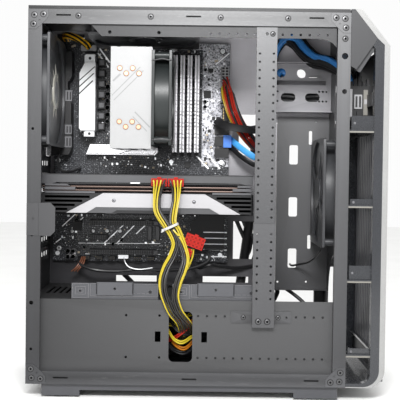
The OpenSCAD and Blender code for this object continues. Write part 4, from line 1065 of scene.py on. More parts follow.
def sockets_and_slots():
    y = node_box("board_pcb")[0][1]
    s = Shape()
    lo, hi = node_box("memory_slots")
    for k in range(4):
        x = lo[0] + 9.9 * k
        s.box((x, 60, lo[2] + 3), (x + 6.8, y, hi[2] - 3))
        for z0, z1 in ((lo[2], lo[2] + 7), (hi[2] - 7, hi[2])):
            s.prism([(x + 0.2, z0), (x + 6.6, z0), (x + 6.6, z1), (x + 0.2, z1)], 54, y, "y", 1)
            s.box((x + 1.6, 50, z0 + 1.5), (x + 5.2, 54, z1 - 1.5), 1)
    build("memory_sockets", s, [SOCKETGREY, CHIP], replaces=["memory_slots"], bevel=0.35)

    m = Shape()
    lo, hi = node_box("memory_modules")
    for k in range(4):
        x = lo[0] + 9.9 * k
        m.box((x + 2.6, lo[1] + 2.5, lo[2] + 1), (x + 3.8, hi[1], hi[2] - 1), 1)
        for xa, xb in ((x + 0.1, x + 2.4), (x + 4.0, x + 6.3)):
            m.box((xa, lo[1] + 3, lo[2] + 0.5), (xb, hi[1] - 3, hi[2] - 0.5))
            n = 26
            step = (hi[2] - lo[2] - 2) / n
            for j in range(n):
                z = lo[2] + 1 + j * step
                tall = 3.0 if j % 3 else 1.2
                m.prism([(xa, z), (xb, z + (0.8 if xa < x + 3 else -0.8)), (xb, z + step * 0.62),
                         (xa, z + step * 0.62)], lo[1] + 3 - tall, lo[1] + 3, "y")
    build("memory_sticks", m, [MEMORY, STICK], replaces=["memory_modules"], bevel=0.25)

    e = Shape()
    card = node_box("card_board")
    slots = node_box("expansion_slots")
    pitch, z0 = 20.32, slots[0][2] + 3.6
    for k in range(6):
        z = z0 + k * pitch
        long_slot = k in (0, 2, 5)
        x1 = -71 if long_slot else -135
        e.box((-160, 57, z - 3.6), (x1, y, z - 1.0))
        e.box((-160, 57, z + 1.0), (x1, y, z + 3.6))
        e.box((-160, 60, z - 1.0), (x1, y, z + 1.0))
        e.box((-149, 57, z - 1.0), (-147.4, 60, z + 1.0))
        if long_slot:
            e.box((x1, 58, z - 2.6), (x1 + 6, y, z + 2.6), 1)
        n = int((x1 + 158) / 3.2)
        for i in range(n):
            e.box((-158.6 + 3.2 * i, 56.85, z - 2.6), (-157.4 + 3.2 * i, 57.0, z + 2.6), 1)
    build("card_sockets", e, [BLACK, CARDGREY], replaces=["expansion_slots"], bevel=0.2)

    b = Shape()
    b.box((19.4, 56, 375), (30.6, y, 425))
    b.box((20, 49, 376), (30, 56, 424.5), 1)
    for i in range(12):
        for x in (20.8, 25.6):
            b.box((x, 48.7, 377 + 4 * i), (x + 3.6, 49, 380 + 4 * i))
    b.box((16.5, 52, 396), (19.4, 60, 404), 1)
    b.box((-174, 56, 443.4), (-152, y, 452.6))
    b.box((-173.4, 49, 444), (-152.6, 56, 452), 1)
    b.box((-120, 62, 343), (-69, y, 400))
    for k in range(3):
        z = 300 + 16 * k
        b.box((12, 58, z), (31.5, y, z + 13), 0)
        b.box((30.6, 59.5, z + 2), (31.5, 66.5, z + 5.4), 2)
        b.box((30.6, 59.5, z + 7.4), (31.5, 66.5, z + 10.8), 2)
    b.box((22, 58, 350), (31, y, 371))
    for i in range(9):
        b.box((22.8 + 0.0, 57.4, 351.4 + 2.1 * i), (24.4, 58, 352.4 + 2.1 * i), 2)
    build("board_plugs", b, [BLACK, SOCKETGREY, BRASS], replaces=["board_sockets"], bevel=0.3)


def rear_io():
    """The port block: dark cover inside, shield and sockets outside."""
    lo, hi = node_box("rear_ports")
    y1 = node_box("board_pcb")[0][1]
    s = Shape()
    s.prism([(-212, lo[2] + 2), (-188, lo[2] + 2), (-185, lo[2] + 8), (-185, 372), (-190, 378), (-190, 400),
             (-184.5, 408), (-184.5, hi[2] - 3), (-212, hi[2] - 3)], 40, y1, "y")
    s.box((-217.5, 38.2, lo[2] + 0.5), (-211.9, y1, hi[2] - 0.5), 1)
    for z0, z1, y0 in ((374, 389, 38.5), (311, 326, 38.7), (329, 342, 38.7)):
        s.box((-196, y0, z0), (-183.8, 42, z1), 2)
        for k in range(3):
            s.box((-195 + 4 * k, y0 - 0.25, z0 + 2), (-193 + 4 * k, y0, z1 - 2), 3)
    for k in range(6):
        s.box((-209, 39.6, 402 + 6 * k), (-187, 40, 404 + 6 * k), 3)
    build("port_block", s, [BLACK, PLATED, GREYP, CHIP], replaces=["rear_ports"], bevel=0.4)

    p = Shape()
    x = -217.5
    p.box((x - 0.3, 38.6, 300), (x, y1 + 1.4, 444.5))

    def shell(y0, y1s, z0, z1, tongue=1, depth=1.2):
        t = 0.8
        for a, b in (((y0, z0), (y1s, z0 + t)), ((y0, z1 - t), (y1s, z1)), ((y0, z0), (y0 + t, z1)),
                     ((y1s - t, z0), (y1s, z1))):
            p.box((x - depth, a[0], a[1]), (x, b[0], b[1]))
        p.box((x - 0.35, y0 + t, z0 + t), (x - 0.25, y1s - t, z1 - t), 1)
        if tongue:
            zc = (z0 + z1) / 2
            p.box((x - 1.0, y0 + 2, zc - 0.7), (x - 0.3, y1s - 2, zc + 0.7), tongue)

    for k in range(4):
        z = 303 + 18 * k
        shell(44, 58.5, z, z + 6.4, 2)
        shell(44, 58.5, z + 7.6, z + 14, 2 if k % 2 else 3)
    shell(44, 60, 377, 391, 1)
    shell(44.5, 59, 394.5, 399.5, 1)
    for i, (yy, zz) in enumerate(((46.5, 407), (56.5, 407), (46.5, 418), (56.5, 418), (46.5, 429), (56.5, 429))):
        place = facing((x, yy, zz), "-x")
        p.lathe([(4.4, 0), (4.4, 1.1), (3.6, 1.4), (2.2, 1.4), (1.9, 0.4), (0.01, 0.4)], place, 24, 4 if i else 1)
    build("port_sockets", p, [PLATED, BLACK, BLUE_W, GREYP, BRASS], bevel=0.15)


# ---------------------------------------------------------------- graphics card
def graphics_card():
    lo, hi = node_box("card_shroud")
    face = lo[1]
    blo, bhi = node_box("card_board")
    s = Shape()
    # board, backplate with a folded side strip, bracket
    s.box((blo[0] + 3.6, -55.8, 267.8), (52, 56.9, 269.4), 2)
    s.box((-214, face, bhi[2] - 1.4), (hi[0], 54, bhi[2]))
    s.prism([(-214, 263.0), (-196, 262.4), (-190, 264.5), (44, 265.5), (50, 263.5), (hi[0], 264), (hi[0], bhi[2] - 1.4),
             (-214, bhi[2] - 1.4)], face, face + 1.6, "y")
    s.box((-214, face + 1.6, 270.6), (hi[0], 54, bhi[2] - 1.4))
    for k in range(6):
        s.box((-190 + 42 * k, -30, bhi[2] - 0.02), (-160 + 42 * k, -28.6, bhi[2] + 0.25), 1)
        s.box((-190 + 42 * k, -18, bhi[2] - 0.02), (-166 + 42 * k, -16.6, bhi[2] + 0.25), 1)
    strip(s, (-214, bhi[2] - 0.5), (hi[0], bhi[2] - 0.5), 0.9, face, 0.12, 1)
    strip(s, (-186, 263.2), (44, 264.0), 1.4, face, 0.1, 1)
    strip(s, (-96, 264.6), (-84, 264.7), 1.0, face, 0.25, 3)
    build("card_back", s, [CARDGREY, BLACK, BOARD, PRINT], replaces=["card_board"], bevel=0.3)
    b = Shape()
    x = blo[0]
    for k in range(9):
        b.box((x, -56 + 13.6 * k, 242), (x + 1, -54.4 + 13.6 * k, 261))
    for z0, z1 in ((240, 242.4), (260.6, 262.6), (272.6, bhi[2])):
        b.box((x, face, z0), (x + 1, bhi[1], z1))
    b.box((x, face, 240), (x + 1, -56, bhi[2]))
    b.box((x, 52.6, 240), (x + 1, bhi[1], bhi[2]))
    for k in range(4):
        y0 = -46 + 24 * k
        b.box((x - 0.8, y0, 263.6), (x, y0 + 15, 270.6))
        b.box((x - 1.0, y0 + 1.2, 264.8), (x - 0.7, y0 + 13.8, 269.4), 1)
    b.box((x, face, 262.6), (x + 1, 52, 263.6))
    b.box((x, face, 270.6), (x + 1, 52, 272.6))
    build("card_bracket", b, [PLATED, BLACK], replaces=["card_board"], bevel=0.1)

    # fins, with the dark housing's louvres at both ends
    f = Shape()
    flo, fhi = node_box("card_heatsink")
    n = 118
    for k in range(n):
        xx = flo[0] + (fhi[0] - flo[0] - 0.5) * k / (n - 1)
        f.box((xx, flo[1], flo[2]), (xx + 0.5, fhi[1], fhi[2]))
    build("card_fins", f, DARKFIN, replaces=["card_heatsink"], smooth=False)
    c = Shape()
    plo, phi = node_box("card_pipes")
    for z in (259.3, 254.6):
        c.tube(smooth_path([(plo[0], -54.4, z), (-150, -54.9, z), (-40, -55.2, z), (20, -54.9, z),
                            (phi[0] - 4, -53.5, z), (phi[0], -49, z)], 6), 2.0, 12)
    build("card_heatpipes", c, DULLCOPPER, replaces=["card_pipes"])

    h = Shape()
    lip = hi[2]
    n = 72
    for x0, x1 in ((lo[0], -120), (-120, -32), (-32, hi[0])):
        centre = {-120: -164, -32: -76}.get(x1, 12)
        ring_plate(h, x0, x1, lo[1], hi[1], centre, -1, 43.2, lo[2], lo[2] + 2.2, n)
    h.box((lo[0], lo[1], lo[2]), (hi[0], lo[1] + 2, lip))
    h.box((lo[0], hi[1] - 2, lo[2]), (hi[0], hi[1], lip))
    h.box((lo[0], lo[1], lo[2]), (lo[0] + 2, hi[1], lip))
    h.box((hi[0] - 2, lo[1], lo[2]), (hi[0], hi[1], lip))
    for xc in (-164, -76, 12):
        h.lathe([(43.2, lo[2] + 2.2), (44.4, lo[2] + 2.2), (44.4, lip - 2), (43.2, lip - 2)],
                lambda u, v, w, xc=xc: (xc + u, -1 + v, w), 64)
        h.lathe([(0.01, 234.2), (9, 234.2), (9, 238), (0.01, 238)], lambda u, v, w, xc=xc: (xc + u, -1 + v, w), 32)
        for a in range(3):
            t = math.radians(30 + 120 * a)
            ca, sa = math.cos(t), math.sin(t)
            v = [(xc + d * ca - e * sa, -1 + d * sa + e * ca, z) for z in (236.2, 238.6)
                 for d, e in ((7, -2), (44, -2), (44, 2), (7, 2))]
            h.add(v, [(3, 2, 1, 0), (4, 5, 6, 7), (0, 1, 5, 4), (1, 2, 6, 5), (2, 3, 7, 6), (3, 0, 4, 7)])
    # side louvres
    for side in (-1, 1):
        xo, xi, xb = (-205, -146, -182) if side < 0 else (58, -1 + 2, 46)
        for k, z in enumerate((228.5, 233.8, 239.1, 244.4, 249.7, 255.0)):
            slope = (z - 226) * 1.78
            inner = (-180 + slope) if side < 0 else (46 - slope)
            inner = min(inner, -141) if side < 0 else max(inner, 8)
            if k == 5:
                inner = -166 if side < 0 else 34
            xs = sorted((xo, inner))
            h.prism([(xs[0], z), (xs[1], z), (xs[1], z + 3.9), (xs[0], z + 3.9)], face, face + 6, "y", 1)
        xs = sorted((xo, (-172 if side < 0 else 40)))
        h.prism([(xs[0], 260), (xs[1], 260), (xs[1] - (6 if side < 0 else 0), 262.8), (xs[0], 262.8)], face, face + 6,
                "y", 1)
    build("card_housing", h, [BLACK, CARDDARK], replaces=["card_shroud"], bevel=0.5)

    # light side plate with its dark inlay
    t = Shape()
    t.prism([(-177.5, 226.0), (-151.5, 226.0), (-139.5, 233.4), (4.5, 233.4), (17.5, 226.0), (44.5, 226.0),
             (-1.0, 251.3), (-130.5, 251.3)], face - 1.0, face, "y")
    t.prism([(-151.5, 226.0), (17.5, 226.0), (4.5, 233.4), (-139.5, 233.4)], face - 0.2, face, "y", 1)
    t.prism([(-119, 226.4), (-32, 226.4), (-40, 229.8), (-113, 229.8)], face - 0.5, face - 0.2, "y", 2)
    strip(t, (-131, 251.9), (-0.6, 251.9), 0.8, face, 0.9, 2)
    strip(t, (-178.6, 226.2), (-131, 252), 0.8, face, 0.9, 2)
    strip(t, (-0.6, 252), (45.6, 226.2), 0.8, face, 0.9, 2)
    build("card_side_plate", t, [CARDWHITE, CARDGREY, BLACK], bevel=0.25)
    r = Shape()
    for px, pz in ((-116.8, 242.0), (-14.9, 241.4)):
        screw(r, (px, face - 1.0, pz), "-y", 1.7, 0.5)
    build("card_side_screws", r, [SCREW, BLACK])


def ring_plate(shape, x0, x1, y0, y1, cx, cy, r, z0, z1, n, slot=0):
    """A rectangle with a round hole."""
    outer, inner = [], []
    for k in range(n):
        a = 2 * math.pi * (k + 0.5) / n
        c, s = math.cos(a), math.sin(a)
        reach = min(((x1 if c > 0 else x0) - cx) / c, ((y1 if s > 0 else y0) - cy) / s)
        outer.append((cx + c * reach, cy + s * reach))
        inner.append((cx + c * r, cy + s * r))
    v = [(x, y, z) for z in (z0, z1) for ring in (outer, inner) for x, y in ring]
    f = []
    for k in range(n):
        j = (k + 1) % n
        f.append((k, n + k, n + j, j))
        f.append((2 * n + k, 2 * n + j, 3 * n + j, 3 * n + k))
        f.append((k, j, 2 * n + j, 2 * n + k))
        f.append((n + k, 3 * n + k, 3 * n + j, n + j))
    shape.add(v, f, slot)


def plug(shape, place, cols, rows, pitch=4.2, deep=13.0):
    """A power plug of square cells; place takes (across, up, out)."""
    w, h = cols * pitch, rows * pitch

    def block(a, b, slot):
        v = [place(u, k, o) for u in (a[0], b[0]) for k in (a[1], b[1]) for o in (a[2], b[2])]
        f = [(0, 1, 3, 2), (4, 6, 7, 5), (0, 4, 5, 1), (2, 3, 7, 6), (0, 2, 6, 4), (1, 5, 7, 3)]
        shape.add(v, f, slot)

    block((-w / 2, -h / 2, 0), (w / 2, h / 2, deep - 3), 0)
    for i in range(cols):
        for j in range(rows):
            u, v = -w / 2 + i * pitch, -h / 2 + j * pitch
            block((u + 0.2, v + 0.2, deep - 3.2), (u + pitch - 0.2, v + pitch - 0.2, deep), 0)
            # darker patch on each cell: painted shade for its pin hole
            block((u + 1.1, v + 1.1, deep), (u + pitch - 1.1, v + pitch - 1.1, deep + 0.1), 1)
    block((-2.4, h / 2, 2.0), (2.4, h / 2 + 1.8, deep - 2.0), 0)


def plugs():
    s = Shape()
    lo, hi = node_box("card_plugs")
    for xc in (-59.1, -38.1):
        plug(s, lambda u, v, w, xc=xc: (xc + u, -58 - w, 265.9 + v), 4, 2, 4.95, 13.5)
    build("card_power_plugs", s, [RED, RED_HOLE_SHADE], replaces=["card_plugs"], bevel=0.35)
    s = Shape()
    tilt = math.radians(20)
    cx, cy, cz = -14.2, -86.0, 192.0

    def hang(u, v, w, at=(cx + 0.8, -80.0, cz + 1)):
        """Across and up the cells, and out towards the open side."""
        return (at[0] + u * math.cos(tilt) + v * math.sin(tilt), at[1] - w,
                at[2] - u * math.sin(tilt) + v * math.cos(tilt))

    plug(s, hang, 5, 3, 4.9, 13)
    plug(s, lambda u, v, w: hang(u, v, w, (-21.0, -82.0, 178.5)), 2, 2, 4.2, 10)
    build("spare_plug", s, [RED, RED_HOLE_SHADE], replaces=["card_plugs"], bevel=0.35)


# ---------------------------------------------------------------- cables
ROUTE_PCIE_L = [(-59, -77, 262), (-61, -82, 250), (-60, -88, 231), (-50, -92, 215), (-42, -94, 203),
                (-37, -95, 190), (-41, -97, 175), (-48, -100, 161), (-52, -103, 146), (-51, -104.5, 132),
                (-46, -104.5, 118), (-40, -103.4, 106), (-31, -100, 95), (-27, -90, 83), (-26, -80, 74),
                (-34, -66, 60), (-46, -60, 50), (-54, -60, 46), (-62.9, -60, 46)]
ROUTE_PCIE_R = [(-38, -77, 262), (-37, -84, 248), (-41, -91, 219), (-35, -94, 207), (-28, -96, 189),
                (-24, -98, 173), (-27, -101, 159), (-33, -103.5, 143), (-36, -104.5, 126), (-32, -104, 110),
                (-27, -102.5, 101), (-20, -96, 91), (-18.5, -84, 82), (-22, -60, 68), (-54, -35, 46),
                (-62.9, -35, 46)]
ROUTE_ATX = [(25, 47, 398), (28, 38, 388), (35, 30, 364), (45, 34, 344), (56, 46, 330), (65, 62, 321),
             (70, 80, 315), (71, 91, 294), (62, 92, 200), (52, 92, 124), (50, 89, 98), (44, 75, 82),
             (20, 46, 60), (-25, 20, 49), (-54, 15, 46), (-62.9, 15, 46)]
ROUTE_EPS = [(-162, 49, 449), (-166, 43, 453), (-176, 42, 459), (-188, 46, 464), (-196, 56, 465.5),
             (-198, 70, 465), (-196, 84, 460), (-190, 92, 440), (-150, 92, 200), (-90, 92, 110), (-30, 92, 92),
             (6, 90, 84), (17, 80, 76), (16, 66, 70), (-10, 54, 56), (-50, 41, 46), (-62.9, 40, 46)]
ROUTE_SATA = [(31.6, 63, 322), (35, 63, 322), (39, 54, 318), (48, 43, 310), (58, 38, 303), (68, 40, 298),
              (77, 54, 301), (82, 70, 309), (82, 92, 308)]
ROUTE_USB = [(96, 68.5, 402), (96, 68.5, 414), (96, 68.5, 440), (99, 67, 457), (108, 63, 468), (120, 57, 466),
             (131, 50, 452), (145, 42, 439), (160, 28, 434), (176, 10, 421), (190, 0, 404), (190, 0, 392.1)]
ROUTE_FRONT = [(150, -30, 184.9), (150, -30, 180), (149, -16, 174), (147, 10, 166), (141, 36, 158),
               (132, 56, 153.5), (123, 68, 150.5), (121, 84, 151)]
ROUTE_LOOP = [(-198, 37.9, 306), (-198, 34, 306), (-201, 28, 290), (-194, 22, 279), (-183, 32, 278),
              (-176, 60, 282), (-176, 67.9, 282)]
ROUTE_SPARE = [(-34, -97, 150), (-25, -94, 160), (-19, -88, 172), (-17.6, -86, 183.5)]


def power_wires():
    lo, hi = node_box("card_plugs")

    def starts(xc):
        front_row = [(xc + 7.1 - 4.75 * i, -71.5, 268.3) for i in range(4)]
        return front_row + [(xc - 7.1 + 4.75 * i, -71.5, 263.6) for i in range(4)]

    bundle("lead_a", ROUTE_PCIE_L, [LEAD_GREY] + [YELLOW_W] * 3 + [LEAD_GREY] * 4,
           "power_cables", 1.05, 4.0, 2.6, 0.45, starts(-59.0))
    bundle("lead_b", ROUTE_PCIE_R, [YELLOW_W] * 3 + [LEAD_GREY] * 5,
           "power_cables", 1.05, 3.9, 2.6, -0.45, starts(-38.1))
    front = ROUTE_ATX[:8]
    colors = [BLACK_W, RED_W, RED_W, BLACK_W, RED_W, ORANGE_W, YELLOW_W, BLACK_W, YELLOW_W, RED_W, BLACK_W, RED_W,
              BLACK_W, RED_W, RED_W, BLACK_W]
    spots = [(22.4 + 5 * (i % 2), 48.8, 410 - 4 * (i // 2)) for i in range(16)]
    bundle("board_lead", front, colors, "power_cables", 1.25, 8.4, 5.0, 0.22, spots,
           lambda q: 1.0 - 0.25 * q)
    sleeve = Shape()
    sleeve.tube(smooth_path(ROUTE_ATX[6:], 5), 6.8, 12)
    sleeve.tube(smooth_path(ROUTE_EPS[5:], 5), 3.4, 10)
    build("sleeved_leads", sleeve, SLEEVE, replaces=["power_cables"])
    # the top lead's yellow wires use the brighter yellow, painted light
    bundle("top_lead", ROUTE_EPS[:7], [YELLOW_W_PAINTED_LIGHT, BLACK_W, YELLOW_W_PAINTED_LIGHT, BLACK_W, YELLOW_W_PAINTED_LIGHT, BLACK_W, YELLOW_W_PAINTED_LIGHT, BLACK_W],
           "power_cables", 1.1, 3.6, 2.2, 0.4)
    bundle("spare_lead", ROUTE_SPARE[1:], [YELLOW_W, YELLOW_W, YELLOW_W, BLACK_W, YELLOW_W], "power_cables",
           1.0, 3.2, 1.8, 0.2)
    # leads that go up to the spare plug from the tie
    fan = Shape()
    for i in range(5):
        fan.tube(smooth_path([(-40 + 0.8 * i, -97, 208 - i), (-35 + i, -98, 203 - 1.4 * i),
                              (-29 + i * 0.4, -95, 198.5 - 2.2 * i), (-23.5, -88, 196 - 2.6 * i)], 6), 1.05, 8,
                 0 if i != 3 else 1)
    build("spare_plug_leads", fan, [YELLOW_W, BLACK_W], replaces=["power_cables"])

    tie = Shape()
    cx, cy, cz, lean = -43.2, -95.0, 211.5, math.radians(24)
    n = 28
    for r0, slot in ((0.0, 0),):
        v = []
        for dz in (-1.5, 1.5):
            for dr in (0.0, 1.1):
                for k in range(n):
                    a = 2 * math.pi * k / n
                    x = (9.6 + dr) * math.cos(a)
                    y = (6.0 + dr) * math.sin(a)
                    v.append((cx + x * math.cos(lean) - dz * math.sin(lean), cy + y,
                              cz + x * math.sin(lean) + dz * math.cos(lean)))
        f = []
        for k in range(n):
            j = (k + 1) % n
            f += [(k, j, n + j, n + k), (2 * n + k, 3 * n + k, 3 * n + j, 2 * n + j),
                  (n + k, n + j, 3 * n + j, 3 * n + k), (k, 2 * n + k, 2 * n + j, j)]
        tie.add(v, f, slot)
    tie.box((cx - 11, cy - 5, cz - 6), (cx - 8, cy - 1, cz - 3))
    tie.tube([(cx - 9.5, cy - 4, cz - 4), (cx - 11, cy - 5, cz - 7)], 0.8, 6, 0, 1.6)
    build("wire_tie", tie, TIE, replaces=["power_cables"], bevel=0.2)

    strap = Shape()
    strap.tube(smooth_path([(14, 58, 352), (17, 44, 349), (22, 33, 345), (34, 25, 341), (50, 27, 339), (62, 36, 338),
                            (70, 52, 340), (74, 70, 342)], 6), 1.4, 8, 0, 4.2, (0, 1, 0))
    build("lead_strap", strap, SLEEVE, replaces=["power_cables"])

    # the tangle just inside the shroud's opening
    tangle = Shape()
    loops = [([(-43, -80, 92), (-34, -90, 82), (-22, -86, 76), (-14, -76, 80)], 1),
             ([(-46, -74, 80), (-38, -88, 70), (-27, -90, 66), (-14, -78, 72)], 0),
             ([(-44, -70, 72), (-36, -84, 62), (-24, -88, 58), (-12, -74, 66)], 2),
             ([(-46, -78, 98), (-36, -86, 96), (-26, -88, 90), (-12, -80, 92)], 2),
             ([(-44, -76, 66), (-33, -90, 74), (-20, -88, 84), (-12, -78, 88)], 3),
             ([(-46, -72, 60), (-36, -82, 54), (-24, -84, 52), (-12, -72, 58)], 1),
             ([(-45, -76, 86), (-32, -86, 88), (-22, -84, 98), (-12, -76, 100)], 0)]
    for k, (pts, slot) in enumerate(loops):
        for dz in (0, 2.6):
            tangle.tube(smooth_path([(x, y + dz * 0.4, z + dz) for x, y, z in pts], 8), 1.1, 8, slot)
    build("inner_leads", tangle, [YELLOW_W, BLACK_W, ORANGE_W, RED_W], replaces=["power_cables"])


def data_wires():
    s = Shape()
    s.tube(smooth_path([(x + 1, y - 3, z + 2) for x, y, z in ROUTE_SATA], 6), 4.6, 12, 0, 0.34, (0, 0, 1))
    s.tube(smooth_path([(x, y + 3.5, z - 8) for x, y, z in ROUTE_SATA], 6), 3.6, 12, 1, 0.4, (0, 0, 1))
    s.box((24, 54, 314), (35, 66.5, 331), 2)
    build("drive_leads", s, [SKY_W, BLACK_W, BLUE_W], replaces=["data_cables"])
    s = Shape()
    last = len(ROUTE_USB) - 1
    bow = [max(0.0, min(1.0, (i - 2) / 3, (last - i) / 3)) for i in range(last + 1)]
    for dx, dy, dz, slot in ((0, 0, 0, 0), (3, -3, 1, 0), (5, -5, -4, 0), (-4, 1, -6, 1), (-5, 4, -2, 1), (9, 0, 1, 1),
                             (9, 3, -8, 1), (-1, 6, -11, 1), (13, 6, -4, 1)):
        pts = [(x + dx * b, y + dy * b, z + dz * b) for (x, y, z), b in zip(ROUTE_USB, bow)]
        s.tube(smooth_path(pts, 6), 3.3, 12, slot)
    for y, z, slot in ((66, 386, 1), (68, 380, 1), (66, 374, 1), (70, 391, 1), (69, 369, 1)):
        s.tube(smooth_path([(93, y, z), (110, y + 1, z + 1), (130, y - 1, z - 1), (150, y + 1, z + 1), (168, y, z)], 4),
               3.4, 10, slot)
    s.tube(smooth_path([(99, 67, 412), (100, 67, 418), (103, 67, 421), (108, 67, 420), (112, 68, 412)], 5), 4.6, 12, 0)
    build("front_port_leads", s, [SKYDARK, BLACK_W], replaces=["data_cables"])
    s = Shape()
    s.tube(smooth_path(ROUTE_FRONT, 6), 1.5, 8)
    s.tube(smooth_path(ROUTE_LOOP, 6), 1.9, 8)
    s.tube(smooth_path([(-174, 58, 160), (-172, 50, 150), (-150, 44, 143), (-120, 50, 141), (-95, 56, 143),
                        (-60, 50, 143), (-20, 40, 147), (5, 36, 158), (2, 42, 170), (-20, 52, 168)], 6), 2.3, 8)
    s.tube(smooth_path([(-20, 60, 160), (-8, 46, 148), (8, 40, 152), (22, 52, 149), (50, 68, 146), (78, 80, 150)], 6),
           2.6, 8)
    for dx, dz in ((0, 0), (7, 6), (14, -4)):
        s.tube(smooth_path([(40 + dx, 92, 222 + dz), (50 + dx, 90, 200 + dz), (58 + dx, 92, 180 + dz),
                            (56 + dx, 94, 160 + dz), (44 + dx, 96, 146 + dz)], 5), 3.0, 10)
    s.tube(smooth_path([(104, 84, 122), (116, 82, 116), (128, 78, 108), (138, 74, 100), (146, 70, 92)], 5), 2.6, 10)
    s.tube(smooth_path([(92, 86, 128), (100, 84, 120), (104, 84, 112), (100, 88, 100)], 5), 3.4, 10)
    build("black_leads", s, BLACK_W, replaces=["data_cables"])
    s = Shape()
    s.tube(smooth_path([(-112, 58, 160), (-110, 52, 154), (-104, 50, 147), (-90, 50, 144), (-72, 54, 146)], 6), 0.85, 8)
    s.box((-120, 57, 158), (-106, 60, 163))
    build("white_lead", s, PRINT, replaces=["data_cables"])
    s = Shape()
    for k in range(3):
        s.tube(smooth_path([(-166 - 2 * k, 58, 160), (-167 - 3 * k, 50, 152), (-172 - 3 * k, 48, 145),
                            (-176 - 4 * k, 52, 140)], 5), 0.9, 6)
    build("audio_leads", s, ORANGEDIM, replaces=["data_cables"])


def power_supply():
    """Rear grille, inlet and switch of the power supply, and its sockets inside."""
    lo, hi = node_box("psu_body")
    s = Shape()
    x = lo[0]
    s.box((x + 0.6, lo[1], 44), (hi[0] - 4.6, hi[1], hi[2]))
    frame_hole(s, x + 0.6, hi[0] - 4.6, lo[1], hi[1], -142, -5, 63, lo[2], 44.2, 64)
    s.lathe([(63, lo[2] + 1), (64.5, lo[2] + 1), (64.5, 44), (63, 44)], lambda u, v, w: (-142 + u, -5 + v, w), 64)
    for r in (16, 26, 36, 46, 56):
        pts = [(-142 + r * math.cos(2 * math.pi * k / 40), -5 + r * math.sin(2 * math.pi * k / 40), lo[2] + 1.2)
               for k in range(41)]
        s.tube(pts, 0.8, 6, 1)
    for a in (0, 90):
        t = math.radians(a + 45)
        s.tube([(-142 - 64 * math.cos(t), -5 - 64 * math.sin(t), lo[2] + 1.9),
                (-142, -5, lo[2] + 1.9), (-142 + 64 * math.cos(t), -5 + 64 * math.sin(t), lo[2] + 1.9)], 0.8, 6, 1)
    s.lathe([(0.01, 29.6), (4, 29.6), (4, 44), (0.01, 44)], lambda u, v, w: (-142 + u, -5 + v, w), 24)
    cell = 6.2
    for i in range(15):
        for j in range(10):
            y = -70 + i * cell + (cell / 2 if j % 2 else 0)
            z = 33 + j * 6.2
            if y > 18:
                continue
            hexagon(s, x + 0.4, y, z, 2.9, 2.3)
    s.box((x, -74, 26), (x + 0.6, 64, 100), 2)
    s.prism([(30, 36), (34, 32), (54, 32), (58, 36), (58, 54), (30, 54)], x - 0.2, x, "x", 0)
    s.prism([(33, 38), (36, 35), (52, 35), (55, 38), (55, 51), (33, 51)], x - 0.3, x - 0.2, "x", 2)
    for y in (38, 44, 50):
        s.box((x - 0.5, y - 0.9, 41), (x - 0.3, y + 0.9, 46), 1)
    s.prism([(33, 64), (55, 64), (55, 80), (33, 80)], x - 0.2, x, "x", 0)
    s.prism([(35, 66), (53, 66), (53, 78), (35, 78)], x - 0.55, x - 0.2, "x", 2)
    for y in (-70, -45, -20, 5, 30):
        s.box((hi[0] - 4.7, y, 40), (hi[0], y + 20, 52))
        for i in range(4):
            for j in range(2):
                s.box((hi[0] - 0.1, y + 1 + 4.7 * i, 41.5 + 5 * j), (hi[0] + 0.05, y + 4 + 4.7 * i, 45 + 5 * j), 2)
    build("power_supply", s, [PSUBLACK, PLATED, CHIP], replaces=["psu_body"], bevel=0.4)


def hexagon(shape, x, y, z, r, ri):
    """A raised hexagonal ring of the rear grille."""
    v, f = [], []
    for k in range(6):
        a = math.radians(60 * k + 30)
        for rad in (r, ri):
            for w in (0.0, 0.9):
                v.append((x - w, y + rad * math.cos(a), z + rad * math.sin(a)))
    for k in range(6):
        a, b = 4 * k, 4 * ((k + 1) % 6)
        f += [(a + 1, b + 1, b + 3, a + 3), (a, b, b + 1, a + 1), (a + 2, a + 3, b + 3, b + 2)]
    shape.add(v, f, 1)


def frame_hole(shape, x0, x1, y0, y1, cx, cy, r, z0, z1, n, slot=0):
    ring_plate(shape, x0, x1, y0, y1, cx, cy, r, z0, z1, n, slot)


case_screws()
caddy_marks()
front_ports()
cooler()
board()
heatsinks()
sockets_and_slots()
rear_io()
graphics_card()
plugs()
power_wires()
data_wires()
power_supply()


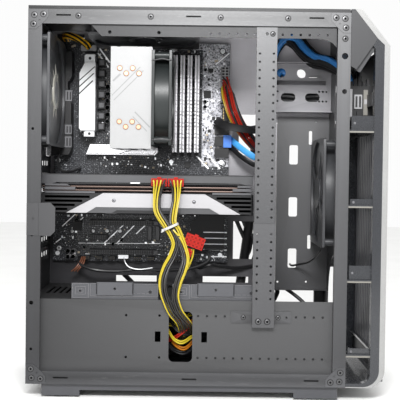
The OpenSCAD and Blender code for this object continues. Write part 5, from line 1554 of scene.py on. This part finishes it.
# ---------------------------------------------------------------- camera, light and floor
def stand_and_light():
    f = Shape()
    f.box((-4000, -4000, -20), (4000, 4000, 0))
    mesh = bpy.data.meshes.new("studio_floor")
    mesh.from_pydata([[c * MM for c in v] for v in f.verts], [], f.faces)
    floor = bpy.data.objects.new("studio_floor", mesh)
    scene.collection.objects.link(floor)
    m, t, s, v = node_tree("floor_paper")
    t.links.new(ramp(t, noise(t, v, 6), [(0.3, (0.86, 0.86, 0.85)), (0.7, (0.90, 0.90, 0.89))]),
                s.inputs["Base Color"])
    s.inputs["Roughness"].default_value = 0.9
    mesh.materials.append(m)

    world = bpy.data.worlds.new("studio")
    scene.world = world
    world.use_nodes = True
    world.node_tree.nodes["Background"].inputs["Color"].default_value = (1.0, 1.0, 1.0, 1)
    world.node_tree.nodes["Background"].inputs["Strength"].default_value = 0.98

    def lamp(name, place, aim, size, power):
        data = bpy.data.lights.new(name, "AREA")
        data.shape = "RECTANGLE"
        data.size, data.size_y = size
        data.energy = power
        obj = bpy.data.objects.new(name, data)
        scene.collection.objects.link(obj)
        obj.location = place
        obj.rotation_euler = (Vector(aim) - Vector(place)).to_track_quat("-Z", "Y").to_euler()

    lamp("key", (0.0, -1.2, 0.86), (0.02, 0, 0.42), (0.4, 0.3), 24)
    lamp("fill", (-0.7, -1.9, 0.30), (0, 0, 0.25), (1.2, 1.0), 7)
    lamp("top", (0.0, 0.2, 2.0), (0, 0, 0.2), (1.6, 1.6), 6)


def set_camera():
    """The camera stands before the open side, a little above the middle, tilted and rolled a little."""
    place = Vector((-0.0073, -1.333, 0.2797))
    tilt, roll = math.radians(1.6), math.radians(0.75)
    right, ahead = Vector((1, 0, 0)), Vector((0, math.cos(tilt), -math.sin(tilt)))
    up = Vector((0, math.sin(tilt), math.cos(tilt)))
    r = right * math.cos(roll) + up * math.sin(roll)
    u = up * math.cos(roll) - right * math.sin(roll)
    data = bpy.data.cameras.new("camera")
    data.sensor_width = 36
    data.lens = 90.2
    data.clip_end = 30
    cam = bpy.data.objects.new("camera", data)
    scene.collection.objects.link(cam)
    basis = Matrix((r, u, -ahead)).transposed().to_4x4()
    cam.matrix_world = Matrix.Translation(place) @ basis
    scene.camera = cam
    scene.view_settings.view_transform = "Standard"


set_camera()
stand_and_light()
